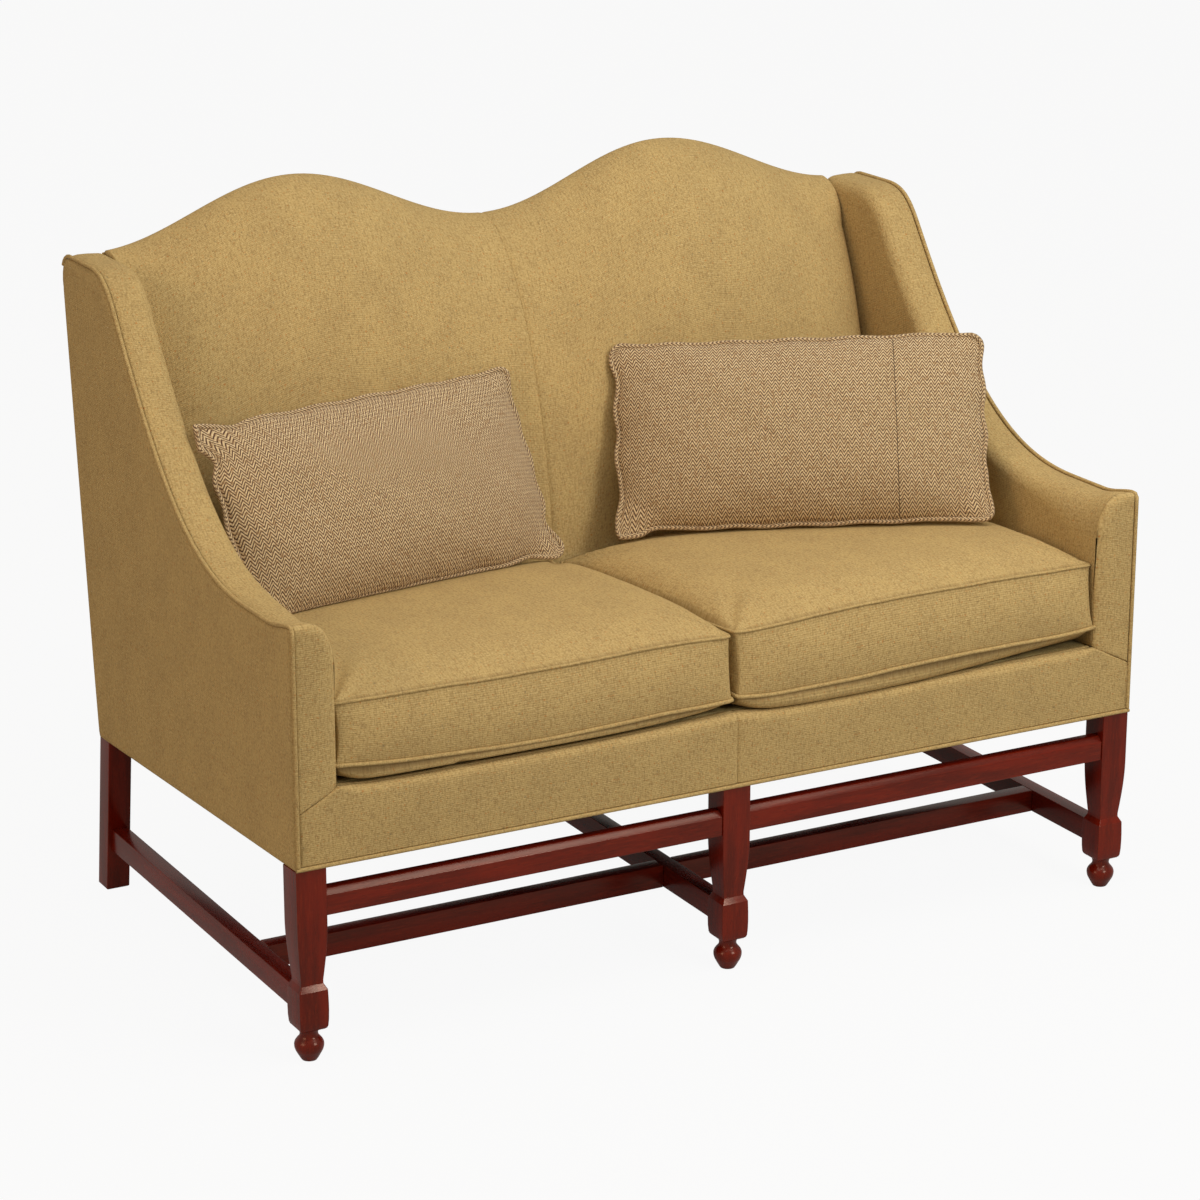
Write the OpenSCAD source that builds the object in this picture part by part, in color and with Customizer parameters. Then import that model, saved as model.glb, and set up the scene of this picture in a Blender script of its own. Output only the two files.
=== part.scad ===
// Two-seat wing-back loveseat: a double-hump back, scooped wings that run down into the
// arms, two loose seat cushions and two lumbar pillows, on six legs with stretchers.
// Millimetres, +Z up. The front faces -Y, and left and right are as seen from the front.
// The origin is on the floor under the middle of the whole piece.

/* [Overall] */
// Width over the outside covers of the arms
sofa_w = 1372; // [1250:1:1600]
// Depth from the front cover to the rear cover, along the seat's bottom edge
base_d = 734; // [680:1:820]
// Height of the covers' bottom edge at the front
front_h = 284; // [262:1:320]
// Height of the covers' bottom edge at the rear
rear_h = 250; // [235:1:270]

/* [Back] */
// Angle at which the back leans
back_rake = 5.7; // [3:0.1:8]
// Height of the dip between the humps
dip_h = 977; // [940:1:1010]
// How far the two humps rise over the dip
hump_rise = 87; // [50:1:130]
// How far the back beside the wings stands over the dip
shoulder_rise = 1; // [-10:1:8]
// Distance of each hump's top from the middle
hump_x = 318; // [280:1:350]
// Thickness of the back above the seat, cover to cover
back_t = 200; // [180:1:225]
// Height over which the top of the back rolls to its full thickness
back_roll_h = 450; // [380:1:480]
// How far the back's padding falls away beside the wings
back_fall = 76; // [40:1:90]
// Width over which it falls away
back_fall_w = 110; // [70:1:150]
// Padding over the top rail of the back
back_cap = 22; // [20:1:30]
// Distance of the back's crest from the rear cover
back_crest = 22; // [16:1:30]
// How far its top rolls down to the rear cover
back_drop = 6; // [4:1:10]

/* [Arms and wings] */
// Thickness of the arms and wings
arm_w = 66; // [62:1:80]
// Height of the arms where they are lowest
arm_h = 615; // [590:1:650]
// Height of the arms at their front edge
arm_front_h = 627; // [600:1:662]
// Distance from the front over which the arm falls to its lowest height
arm_lip_l = 80; // [50:1:110]
// Distance from the front to where the scoop starts
scoop_start = 160; // [140:1:190]
// How far below the wing's top the scoop turns into its front corner
scoop_drop = 57; // [44:1:74]
// Angle of the scoop there
scoop_a = 54.8; // [48:0.2:60]
// How far the wings stand over the dip
wing_rise = 2; // [-6:1:12]
// Distance from the rear cover to the top end of the scoop
wing_d = 202; // [190:1:215]
// Length of the wing's flat top with its rear corner
wing_flat = 117; // [105:1:125]
// Radius of the wing's rear top corner
wing_corner_r = 30; // [24:1:36]
// Radius of the padded inner edge of the arms and wings
arm_edge_r = 20; // [17:1:24]
// Padding over the top of the arm frame
arm_cap = 14; // [10:1:16]

/* [Seat] */
// Padding in front of the front rail
front_pad = 12; // [9:1:16]
// Radius of the front border's top edge
border_r = 12; // [8:1:16]
// Height of the deck over the bottom edge
deck_z = 111; // [108:1:120]
// Thickness of the deck's felt
deck_t = 9; // [7:1:12]

/* [Seat cushions] */
// Gap between the seat cushions and the back
cushion_gap = 2; // [1:0.5:20]
// Height of the boxing between the two welts
boxing_h = 92; // [80:1:104]
// How far the underside of the left and the right cushion bulges below its welt
belly_h = [22, 34]; // [16:1:40]
// How far the top is crowned above its welt
crown_h = 34; // [26:1:50]
// How far the rear edge of a cushion is pressed down by its pillow
cushion_sink = 11; // [0:1:16]
// How far the boxing is drawn in between the welts
boxing_in = 3; // [1:0.5:5]
// Height of the foam core
core_h = 84; // [70:1:92]
// Length of the zip in the rear boxing
zip_l = 470; // [400:1:500]

/* [Lumbar pillows] */
// Width of a pillow
pillow_w = 570; // [520:1:590]
// Height of a pillow
pillow_h = 298; // [270:1:320]
// Thickness of a pillow
pillow_t = 116; // [90:1:130]
// How far its edges pull in between the corners
pillow_pull = 9; // [4:1:14]
// Turn, lean and roll of the left pillow
pillow_left_angles = [13, -26, 0.6]; // [-30:0.1:30]
// Turn, lean and roll of the right pillow
pillow_right_angles = [-32, -27, -3]; // [-40:0.1:30]

/* [Legs] */
// Side of the square front legs
leg_w = 44.5; // [40:0.5:52]
// Side of the front legs at their narrowest
leg_waist = 33; // [28:0.5:36]
// Height at which the front legs start to narrow
leg_taper_z = 206; // [190:1:209]
// Height of the waist above the floor
leg_waist_z = 119; // [116:1:135]
// Height of the foot block's top, below its chamfer
block_top = 107; // [104:1:112]
// Height of the foot block's underside
block_bottom = 50; // [46:1:56]
// Diameter of the ball foot
ball_d = 41.5; // [38:0.5:46]
// Height of the ball's middle above the floor
ball_z = 18.2; // [16:0.1:19]
// Diameter of the neck over the ball
neck_d = 28; // [22:0.5:32]
// Side of the rear legs
rear_leg_w = 36.5; // [32:0.5:42]
// How far the rear legs splay backwards at the floor
rear_splay = 35; // [20:1:45]
// Distance of the rear legs' sides from the outside covers
rear_leg_in = 3; // [2:0.5:8]
// Distance of the front legs' faces from the front cover
leg_set = 1.5; // [1:0.5:4]

/* [Stretchers] */
// Height of the low stretchers' underside
low_z = 67; // [60:1:68]
// Height of the low stretchers' section
low_h = 35; // [30:1:36]
// Thickness of the low stretchers
low_t = 25.4; // [20:0.2:28]
// Distance from the front cover to the medial stretchers
medial_y = 190; // [150:1:300]
// Height of the front stretchers' underside
front_str_z = 213; // [210:1:218]
// Height of the front stretchers' section
front_str_h = 37; // [32:1:40]
// Thickness of the front stretchers
front_str_t = 22; // [18:1:26]
// Width of the chamfer along their top front edge
front_str_c = 8; // [4:0.5:10]
// Distance of their front face from the front cover
front_str_y = 4; // [3:0.5:7]
// Thickness of every tenon
tenon_t = 9; // [7:0.5:10]
// Length of the tenons in the legs
tenon_l = 20; // [14:1:20]

/* [Hidden frame] */
// Thickness of the seat rails
rail_t = 28; // [24:1:30]
// Height of the seat rails
rail_h = 92; // [88:1:92]
// Thickness of the back rails
back_rail_t = 32; // [26:1:36]
// Height of the top rail under the dip
top_rail_web = 66; // [56:1:80]
// Height of the lower back rail, and how far it stands above the covers' bottom edge
low_rail_h = 60; // [50:1:76]
low_rail_up = 170; // [150:1:200]
// Width of the centre post of the back
centre_post_w = 44; // [36:1:56]
// Depth of the back posts
post_d = 40; // [36:1:46]
// Depth of the sawn arm and wing rails
arm_rail_d = 45; // [36:1:46]
// Depth of the front arm posts
arm_post_d = 36; // [30:1:44]
// Diameter of the round tenons on the legs and posts
peg_d = 22; // [18:0.5:24]
// Length of the round tenons on the legs
peg_l = 40; // [30:1:44]
// Diameter of the dowels
dowel_d = 10; // [8:0.5:12]
// Length of the dowels
dowel_l = 44; // [36:1:50]
// Side of the corner blocks
block_side = 70; // [55:1:80]

/* [Springs and cloths] */
// Diameter of the spring wire
spring_d = 3.8; // [3.2:0.1:4.1]
// Half width of a sinuous spring's waves
spring_a = 24; // [18:1:28]
// Springs under each cushion
springs_per_seat = 4; // [3:1:5]
// Width of the webbing strips, and how far their ends stay off the rails' far edges
web_w = 50; // [44:1:60]
web_lap = 10; // [6:1:16]
// Webbing strips behind each half of the back
web_strips = 4; // [3:1:5]
// Thickness of the hessian and the black dust cover
cloth_t = 1.2; // [0.8:0.1:1.4]

/* [Covers] */
// Thickness of the outside covers with their wadding
cover_t = 4; // [3:0.5:5]
// Thickness of the padded covers inside the arms
inner_pad = 14; // [11:1:15]
// Diameter of the welts along the seams
welt_d = 6; // [4.5:0.5:7]

/* [Hidden] */
// Joinery clearance, and the gap between faces that rest on each other
fit = 0.2;
rest = 0.3;
// Clearance of the pillows from the back and from the cushions, and of the padding from its rail
lean_gap = 0.3;
stand_gap = 0.5;
hump_gap = 0.9;

seat_pitch = atan((front_h - rear_h) / base_d);
seat_len = base_d / cos(seat_pitch);
half_w = sofa_w / 2;
welt_r = welt_d / 2;
hump_h = dip_h + hump_rise;
shoulder_h = dip_h + shoulder_rise;
wing_h = dip_h + wing_rise;
scoop_top_h = wing_h - scoop_drop;
// Height on the rear cover at which the back reaches furthest
reach_h = hump_h - back_drop;
total_d = welt_r + base_d + (reach_h - rear_h) * tan(back_rake);
y_front = welt_r - total_d / 2;
y_rear = y_front + base_d;

// Frame members inside the covers
skin = cover_t + rest;
frame_x = half_w - skin;
arm_x = half_w - arm_w;
post_x = arm_x + inner_pad + 1.7;
post_w = frame_x - post_x;
rail_y = front_pad + rest;
rail_end = seat_len - skin - 0.5;
back_front = skin + back_rail_t;
web_t = 1.5;
pad_rear = back_front + web_t + 2 * rest;
leg_cx = half_w - leg_w / 2;
leg_cy = y_front + leg_set + leg_w / 2;
rear_cx = half_w - rear_leg_in - rear_leg_w / 2;
str_x = leg_cx;
peg_y = rail_y + rail_t / 2;
rear_peg_y = rail_end - rail_t / 2;
leg_top = -fit;

// A cubic curve through its two ends, and smooth steps between two heights
function bezier(p, t) = pow(1 - t, 3) * p[0] + 3 * t * pow(1 - t, 2) * p[1]
    + 3 * t * t * (1 - t) * p[2] + pow(t, 3) * p[3];
function ease(t) = (1 - cos(180 * t)) / 2;

// The rear cover's plane, a point at a depth square to it, and the height of the deck's top
function rear_y(z) = y_rear + (z - rear_h) * tan(back_rake);
function behind(d, z) = [rear_y(z) - d * cos(back_rake), z + d * sin(back_rake)];
function deck_h(y) = front_h + deck_z / cos(seat_pitch) - (y - y_front) * tan(seat_pitch);

// Height of the back at a distance from the middle
shoulder_x = half_w - 46;
function back_h(x) = abs(x) <= hump_x
    ? dip_h + (hump_h - dip_h) * ease(abs(x) / hump_x)
    : shoulder_h + (hump_h - shoulder_h) * (1 - ease(min(1, (abs(x) - hump_x) / (shoulder_x - hump_x))));

// Thickness of the back at a depth below its top, and its inside face
back_half = arm_x - 2;
function crown(s) = pow(1 - pow(1 - min(1, s), 1.8), 0.45);
function fall_off(x) = let (u = max(0, (abs(x) - back_half + back_fall_w) / back_fall_w))
    1 - sqrt(1 - min(1, u * u));
function back_thick(x, drop) = norm([back_crest, back_t * crown(drop / back_roll_h)])
    - back_fall * crown(drop / back_roll_h) * min(1, drop / 70) * fall_off(x);
function inside_y(x, z) = rear_y(z) - back_thick(x, max(0, back_h(x) - z));

// Side outline of the arm and wing, from the front to the rear, as [y, z] points
scoop_a0 = [y_front + scoop_start, arm_h];
scoop_b0 = [rear_y(scoop_top_h) - wing_d, scoop_top_h];
scoop_dir = [cos(scoop_a), sin(scoop_a)];
scoop_span = norm(scoop_b0 - scoop_a0);
scoop = [scoop_a0, scoop_a0 + [0.32 * scoop_span, 0], scoop_b0 - 0.51 * scoop_span * scoop_dir, scoop_b0];
flat_y = rear_y(wing_h) - wing_flat;
turn = (flat_y - scoop_b0[0]) * 0.5;
turn_curve = [scoop_b0, scoop_b0 + turn * scoop_dir, [flat_y - turn, wing_h], [flat_y, wing_h]];
corner_c = [y_rear + ((wing_h - wing_corner_r - rear_h) * sin(back_rake) - wing_corner_r)
    / cos(back_rake), wing_h - wing_corner_r];
corner_end = acos(1 - skin / wing_corner_r) - back_rake;
// The inner skin of the wing stops at the back frame
switch_y = rear_y(wing_h) - (pad_rear + 1) / cos(back_rake);
lip_n = 5;
scoop_n = 16;
turn_n = 6;
corner_n = 4;
function lip(s) = arm_h + (arm_front_h - arm_h) * (1 - ease(s));
function side_path(y0, with_lip) = concat(
    [for (i = [0:lip_n]) let (s = i / lip_n)
        [y0 + (y_front + arm_lip_l - y0) * s,
         with_lip ? lip((y0 + (y_front + arm_lip_l - y0) * s - y_front) / arm_lip_l) : arm_h]],
    [for (i = [0:scoop_n]) bezier(scoop, i / scoop_n)],
    [for (i = [1:turn_n]) bezier(turn_curve, i / turn_n)],
    [[switch_y, wing_h], [switch_y + 0.6, wing_h]],
    [for (i = [0:corner_n]) let (a = 90 + (corner_end - 90) * i / corner_n)
        corner_c + wing_corner_r * [cos(a), sin(a)]]);
switch_i = lip_n + 1 + scoop_n + 1 + turn_n;

// Outward normals of a path, and the path moved along them
function path_normal(p, i) = let (t = p[min(len(p) - 1, i + 1)] - p[max(0, i - 1)])
    [-t[1], t[0]] / norm(t);
function moved(p, d) = [for (i = [0:len(p) - 1]) p[i] + d * path_normal(p, i)];

// A point in the pitched frame of the seat, and the cushions' depth up to the foot of the back
function to_seat(p) = let (y = p[1] - y_front, z = p[2] - front_h)
    [p[0], y * cos(seat_pitch) - z * sin(seat_pitch), y * sin(seat_pitch) + z * cos(seat_pitch)];
back_foot_z = deck_h(y_rear - back_t);
cushion_d = to_seat([0, inside_y(0, back_foot_z), back_foot_z])[1] - cushion_gap;

// Seat cushion: a ring at each inset from the outline, with its height
cushion_x0 = 0.5;
cushion_w = arm_x - 1 - cushion_x0;
cushion_y0 = 1;
cushion_r = 26;
corner_grow = 0.55;
welt_in = 3;
crown_rings = [[14, 0.22], [36, 0.47], [72, 0.72], [118, 0.9], [176, 0.985]];
function cushion_rings(belly) = concat(
    [[130, 0], [48, 0], [22, 0.16 * belly], [9, 0.5 * belly], [welt_in, belly - welt_in],
     [0, belly], [welt_in, belly + welt_in], [welt_in + boxing_in, belly + boxing_h / 2],
     [welt_in, belly + boxing_h - welt_in], [0, belly + boxing_h],
     [welt_in, belly + boxing_h + welt_in]],
    [for (c = crown_rings) [c[0], belly + boxing_h + welt_in + (crown_h - welt_in) * c[1]]]);
corner_steps = 5;
side_steps = 9;
function rounded(w, d, r) = let (q = [[w - r, d - r], [r, d - r], [r, r], [w - r, r]])
    [for (k = [0:3]) each concat(
        [for (i = [0:corner_steps]) let (a = 90 * k + 90 * i / corner_steps)
            q[k] + r * [cos(a), sin(a)]],
        [for (i = [1:side_steps - 1]) let (a = 90 * (k + 1), s = i / side_steps)
            (q[k] + r * [cos(a), sin(a)]) * (1 - s) + (q[(k + 1) % 4] + r * [cos(a), sin(a)]) * s])];
function sunk(y) = cushion_sink * pow(max(0, y) / cushion_d, 2);
function ring_points(ring, belly) = let (
        r = cushion_r + corner_grow * ring[0],
        share = max(0, min(1, (ring[1] - belly) / boxing_h)))
    [for (p = rounded(cushion_w - 2 * ring[0], cushion_d - cushion_y0 - 2 * ring[0], r))
        [p[0] + ring[0], p[1] + ring[0], ring[1] - share * sunk(p[1] + ring[0])]];

// Inset of the ring through a point that lies a and b from two sides, past the rounded corner
function ring_inset(a, b) = let (
        k = 1 + corner_grow,
        p = 2 * k * k - corner_grow * corner_grow,
        q = 2 * k * (2 * cushion_r - a - b) - 2 * corner_grow * cushion_r,
        root = q * q - 4 * p * (pow(cushion_r - a, 2) + pow(cushion_r - b, 2) - pow(cushion_r, 2)),
        t = (sqrt(max(0, root)) - q) / (2 * p))
    max(a, b) < cushion_r + k * t ? t : min(a, b);

// Top of a seat cushion over a point of the seat's plane
function cushion_top(x, y, belly) = let (
    inset = max(0, ring_inset(min(abs(x) - cushion_x0, cushion_x0 + cushion_w - abs(x)),
        min(y - cushion_y0, cushion_d - y))),
    rise = lookup(inset, concat([[0, 0.07]], crown_rings, [[(cushion_d - cushion_y0) / 2, 1]])))
    deck_z + rest + belly + boxing_h + welt_in + (crown_h - welt_in) * rise - sunk(y);

// Pillow: two domed faces on a grid, with a rim between them
pillow_nx = 26;
pillow_ny = 16;
rim = 3;
function puff(u) = pow(1 - pow(abs(u), 2.4), 0.62);
function pillow_point(i, j, side) = let (a = sin(90 * (2 * i / pillow_nx - 1)),
        b = sin(90 * (2 * j / pillow_ny - 1)))
    [a * (pillow_w / 2 - pillow_pull * (1 - pow(b, 4))),
     side * (rim + (pillow_t / 2 - rim) * puff(a) * puff(b)),
     b * (pillow_h / 2 - pillow_pull * (1 - pow(a, 4)))];
function turned(p, a) = let (
        q = [p[0] * cos(a[2]) + p[2] * sin(a[2]), p[1], -p[0] * sin(a[2]) + p[2] * cos(a[2])],
        r = [q[0], q[1] * cos(a[1]) - q[2] * sin(a[1]), q[1] * sin(a[1]) + q[2] * cos(a[1])])
    [r[0] * cos(a[0]) - r[1] * sin(a[0]), r[0] * sin(a[0]) + r[1] * cos(a[0]), r[2]];

// A pillow is pushed against its arm, then leaned on the back and let down on its cushion
function settle(pts, belly, at, steps) = steps == 0 ? at
    : let (
        dy = min([for (p = pts) inside_y(p[0], p[2] + at[1]) - p[1] - at[0]]) - lean_gap,
        y = at[0] + dy,
        dz = min([for (p = pts) let (q = to_seat(p + [0, y, at[1]]))
            q[1] < cushion_d ? q[2] - cushion_top(q[0], q[1], belly) : 200]) - stand_gap)
    settle(pts, belly, [y, at[1] - dz], steps - 1);
function pillow_grid(a) = [for (side = [-1, 1]) for (j = [0:pillow_ny]) for (i = [0:pillow_nx])
    turned(pillow_point(i, j, side), a)];
function pillow_place(a, hand, belly) = let (
        pts = pillow_grid(a),
        dx = hand * (arm_x - lean_gap) - (hand > 0 ? max([for (p = pts) p[0]]) : min([for (p = pts) p[0]])),
        yz = settle([for (p = pts) p + [dx, 0, 0]], belly, [0, arm_h + 60], 6))
    [dx, yz[0], yz[1]];

$fn = 48;

wood = "#5a1a12";
raw_wood = "#c9a877";
cloth = "#a98f52";
tweed = "#9d7f5c";

// Frames of the pitched seat and of the leaning back
module in_seat() {
    translate([0, y_front, front_h]) rotate([-seat_pitch, 0, 0]) children();
}
module in_back() {
    translate([0, y_rear, rear_h]) rotate([-back_rake, 0, 0]) children();
}
module flip(hand) {
    if (hand < 0) mirror([1, 0, 0]) children();
    else children();
}
// A side outline in [y, z], given its thickness along X from x0 to x1
module side_slab(x0, x1, points) {
    translate([x0, 0, 0]) rotate([90, 0, 90]) linear_extrude(x1 - x0) polygon(points);
}
// A front outline in [x, z], from depth y0 to y1
module front_slab(y0, y1, points) {
    translate([0, y1, 0]) rotate([90, 0, 0]) linear_extrude(y1 - y0) polygon(points);
}
// A closed solid through rings that all have the same number of points
module loft(rings) {
    n = len(rings[0]);
    m = len(rings);
    polyhedron(
        points = [for (r = rings) each r],
        faces = concat(
            [for (j = [0:m - 2]) for (i = [0:n - 1]) let (k = (i + 1) % n)
                each [[j * n + i, j * n + k, (j + 1) * n + i],
                      [j * n + k, (j + 1) * n + k, (j + 1) * n + i]]],
            [[for (i = [0:n - 1]) n - 1 - i]],
            [[for (i = [0:n - 1]) (m - 1) * n + i]]));
}

// Front leg: square above, narrowed to a waist, then a foot block over a ball
leg_half = leg_w / 2;
function leg_profile() = let (
        waist = leg_waist / 2,
        full = leg_half - 0.5,
        n = 7)
    concat(
        [[neck_d / 2 - 1, block_bottom - 7], [full - 0.6, block_bottom], [full, block_bottom + 16],
         [full, block_top - 16], [full - 0.6, block_top - 7], [full - 1.6, block_top],
         [waist, leg_waist_z - 2]],
        [for (i = [0:n]) let (s = i / n)
            [waist + (leg_half - waist) * sin(90 * s), leg_waist_z + (leg_taper_z - leg_waist_z) * s]],
        [[leg_half, front_h + 20]]);
module below_seat() {
    intersection() {
        children();
        in_seat() translate([-sofa_w, -200, leg_top - 500]) cube([2 * sofa_w, seat_len + 400, 500]);
    }
}
module leg_shape() {
    p = leg_profile();
    both = concat(p, [for (i = [len(p) - 1:-1:0]) [-p[i][0], p[i][1]]]);
    intersection() {
        front_slab(-leg_w, leg_w, both);
        side_slab(-leg_w, leg_w, both);
    }
    rotate_extrude() intersection() {
        translate([0, ball_z]) circle(d = ball_d);
        square([ball_d, block_bottom]);
    }
    translate([0, 0, ball_z]) cylinder(d = neck_d, h = block_bottom - ball_z);
}
module peg(x, y, d, gap = 0, l = peg_l) {
    in_seat() translate([x, y, leg_top - 2]) cylinder(d = d + gap, h = l + 2 + gap);
}
module low_mortise(x, y) {
    translate([x - tenon_t / 2 - fit, y, low_z + 6 - fit])
        cube([tenon_t + 2 * fit, tenon_l + 2 * fit, low_h - 12 + 2 * fit]);
}
front_str_y0 = y_front + front_str_y;
module front_mortise(x) {
    translate([x, front_str_y0 + (front_str_t - tenon_t) / 2 - fit, front_str_z + 6 - fit])
        cube([tenon_l, tenon_t + 2 * fit, front_str_h - 16 + 2 * fit]);
}
module front_leg(x) {
    color(wood) difference() {
        union() {
            below_seat() translate([x, leg_cy, 0]) leg_shape();
            peg(x, peg_y, peg_d);
        }
        low_mortise(x, leg_cy + leg_half - tenon_l - fit);
        if (x > -1) front_mortise(x - leg_half - 0.5);
        if (x < 1) front_mortise(x + leg_half - tenon_l + 0.5);
    }
}
module leg_front_left() front_leg(-leg_cx);
module leg_front_middle() front_leg(0);
module leg_front_right() front_leg(leg_cx);

// Rear leg: a plain square leg that splays backwards
function splay_y(z) = y_rear + rear_splay * (rear_h - z) / rear_h;
module rear_leg(x, stretcher_x) {
    color(wood) difference() {
        union() {
            below_seat() side_slab(x - rear_leg_w / 2, x + rear_leg_w / 2,
                [[splay_y(0), 0], [splay_y(rear_h + 40), rear_h + 40],
                 [splay_y(rear_h + 40) - rear_leg_w, rear_h + 40], [splay_y(0) - rear_leg_w, 0]]);
            peg(x, rear_peg_y, peg_d);
        }
        low_mortise(stretcher_x, splay_y(low_z) - rear_leg_w - 6);
    }
}
module leg_rear_left() rear_leg(-rear_cx, -str_x);
module leg_rear_middle() rear_leg(0, 0);
module leg_rear_right() rear_leg(rear_cx, str_x);

// Low stretcher from a front leg's block to the rear leg behind it
module long_stretcher(x, hands) {
    y0 = leg_cy + leg_half - 0.4;
    face = [for (z = [low_z, low_z + low_h]) [splay_y(z) - rear_leg_w - fit, z]];
    tenon_rear = splay_y(low_z) - rear_leg_w - 6 + tenon_l;
    color(wood) difference() {
        union() {
            side_slab(x - low_t / 2, x + low_t / 2,
                [[y0, low_z], face[0], face[1], [y0, low_z + low_h]]);
            translate([x - tenon_t / 2, y0 - tenon_l + 0.4, low_z + 6])
                cube([tenon_t, tenon_rear - y0 + tenon_l - 0.4, low_h - 12]);
        }
        for (h = hands) translate([x + h * (low_t / 2 - tenon_l / 4 + fit), y_front + medial_y + low_t / 2,
            low_z + low_h / 2]) cube([tenon_l / 2, tenon_t + 2 * fit, low_h - 12 + 2 * fit], center = true);
    }
}
module side_stretcher_left() long_stretcher(-str_x, [1]);
module side_stretcher_right() long_stretcher(str_x, [-1]);
module centre_stretcher() long_stretcher(0, [-1, 1]);

// Medial stretcher from the centre stretcher to a side stretcher
module medial(hand) {
    x0 = low_t / 2 + fit;
    x1 = str_x - low_t / 2 - fit;
    tip = tenon_l / 2 - 0.4;
    color(wood) flip(hand) {
        translate([x0, y_front + medial_y, low_z]) cube([x1 - x0, low_t, low_h]);
        translate([x0 - tip, y_front + medial_y + (low_t - tenon_t) / 2, low_z + 6])
            cube([x1 - x0 + 2 * tip, tenon_t, low_h - 12]);
    }
}
module medial_stretcher_left() medial(-1);
module medial_stretcher_right() medial(1);

// Front stretcher between two front legs, with a wide chamfer along its top front edge
module front_stretcher(hand) {
    x0 = leg_half + fit;
    x1 = leg_cx - leg_half - fit;
    y0 = front_str_y0;
    z1 = front_str_z + front_str_h;
    tip = tenon_l - 1.2;
    color(wood) flip(hand) {
        side_slab(x0, x1, [[y0, front_str_z], [y0 + front_str_t, front_str_z], [y0 + front_str_t, z1],
            [y0 + front_str_c, z1], [y0, z1 - front_str_c]]);
        translate([x0 - tip, y0 + (front_str_t - tenon_t) / 2, front_str_z + 6])
            cube([x1 - x0 + 2 * tip, tenon_t, front_str_h - 16]);
    }
}
module front_stretcher_left() front_stretcher(-1);
module front_stretcher_right() front_stretcher(1);

// Dowels of the seat frame and of the back frame, with their bores
dowel_x = frame_x - rail_t / 2;
dowel_z = [62, 80];
side_rail_y = [rail_y + rail_t + fit, rail_end - rail_t - fit];
module seat_dowels(gap = 0) {
    in_seat() for (x = [-dowel_x, 0, dowel_x]) for (k = [0, 1]) for (z = dowel_z)
        translate([x, side_rail_y[k] - dowel_l / 2 - gap, z])
            rotate([-90, 0, 0]) cylinder(d = dowel_d + gap, h = dowel_l + 2 * gap);
}
top_rail_v = (dip_h - back_cap - rear_h) / cos(back_rake) - top_rail_web;
low_rail_v = [low_rail_up, low_rail_up + low_rail_h];
back_mid = -(skin + back_rail_t / 2);
module back_dowels(gap = 0) {
    in_back() {
        for (h = [-1, 1]) for (v = [low_rail_v[0] + 15, low_rail_v[1] - 15, top_rail_v + 16, top_rail_v + 42])
            translate([h * post_x - dowel_l / 2 - gap, back_mid, v]) rotate([0, 90, 0])
                cylinder(d = dowel_d + gap, h = dowel_l + 2 * gap);
        for (v = [low_rail_v[1], top_rail_v]) translate([0, back_mid, v - dowel_l / 2 - gap])
            cylinder(d = dowel_d + gap, h = dowel_l + 2 * gap);
    }
}
module frame_dowels() {
    color(raw_wood) {
        seat_dowels();
        back_dowels();
    }
}

// Round tenons under the posts, and their bores in the rails
post_peg_d = 20;
post_peg_l = 26;
post_peg_x = post_x + post_peg_d / 2 + 3;
module post_peg(y, gap = 0) {
    in_seat() translate([post_peg_x, y, rail_h - post_peg_l - gap])
        cylinder(d = post_peg_d + gap, h = post_peg_l + 12);
}

// Seat rails
module rail_box(x0, x1, y0, y1) {
    in_seat() translate([x0, y0, 0]) cube([x1 - x0, y1 - y0, rail_h]);
}
module seat_rail_front() {
    color(raw_wood) difference() {
        rail_box(-frame_x, frame_x, rail_y, rail_y + rail_t);
        seat_dowels(2 * fit);
        corner_screws(2 * fit);
        for (x = [-leg_cx, 0, leg_cx]) peg(x, peg_y, peg_d, 2 * fit);
        for (h = [-1, 1]) flip(h) post_peg(peg_y, 2 * fit);
    }
}
module seat_rail_rear() {
    color(raw_wood) difference() {
        rail_box(-frame_x, frame_x, rail_end - rail_t, rail_end);
        seat_dowels(2 * fit);
        corner_screws(2 * fit);
        for (x = [-rear_cx, 0, rear_cx]) peg(x, rear_peg_y, peg_d, 2 * fit);
        for (h = [-1, 1]) flip(h) post_peg(rear_peg_y, 2 * fit);
    }
}
module side_rail(hand) {
    color(raw_wood) difference() {
        flip(hand) rail_box(frame_x - rail_t, frame_x, side_rail_y[0], side_rail_y[1]);
        seat_dowels(2 * fit);
        corner_screws(2 * fit);
    }
}
module seat_rail_left() side_rail(-1);
module seat_rail_right() side_rail(1);
module seat_rail_centre() {
    color(raw_wood) difference() {
        rail_box(-rail_t / 2, rail_t / 2, side_rail_y[0], side_rail_y[1]);
        seat_dowels(2 * fit);
    }
}

// Glued and screwed corner blocks
block_z = [12, 58];
screw_d = 5;
screw_head_d = 9.5;
screw_l = 44;
module corner_place() {
    for (h = [-1, 1]) for (k = [0, 1])
        in_seat() translate([h * (frame_x - rail_t - fit), side_rail_y[k], 0])
            mirror([h > 0 ? 1 : 0, 0, 0]) mirror([0, k, 0]) children();
}
module screw(gap) {
    cylinder(d = screw_d + gap, h = screw_l + gap);
    translate([0, 0, -3]) cylinder(d = screw_head_d + gap, h = 3 + gap / 2);
}
screw_in = 24;
module corner_screws(gap = 0) {
    corner_place() {
        translate([screw_in, screw_l - 22, (block_z[0] + block_z[1]) / 2 - 10])
            rotate([90, 0, 0]) screw(gap);
        translate([screw_l - 22, screw_in, (block_z[0] + block_z[1]) / 2 + 10])
            rotate([0, -90, 0]) screw(gap);
    }
}
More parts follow.
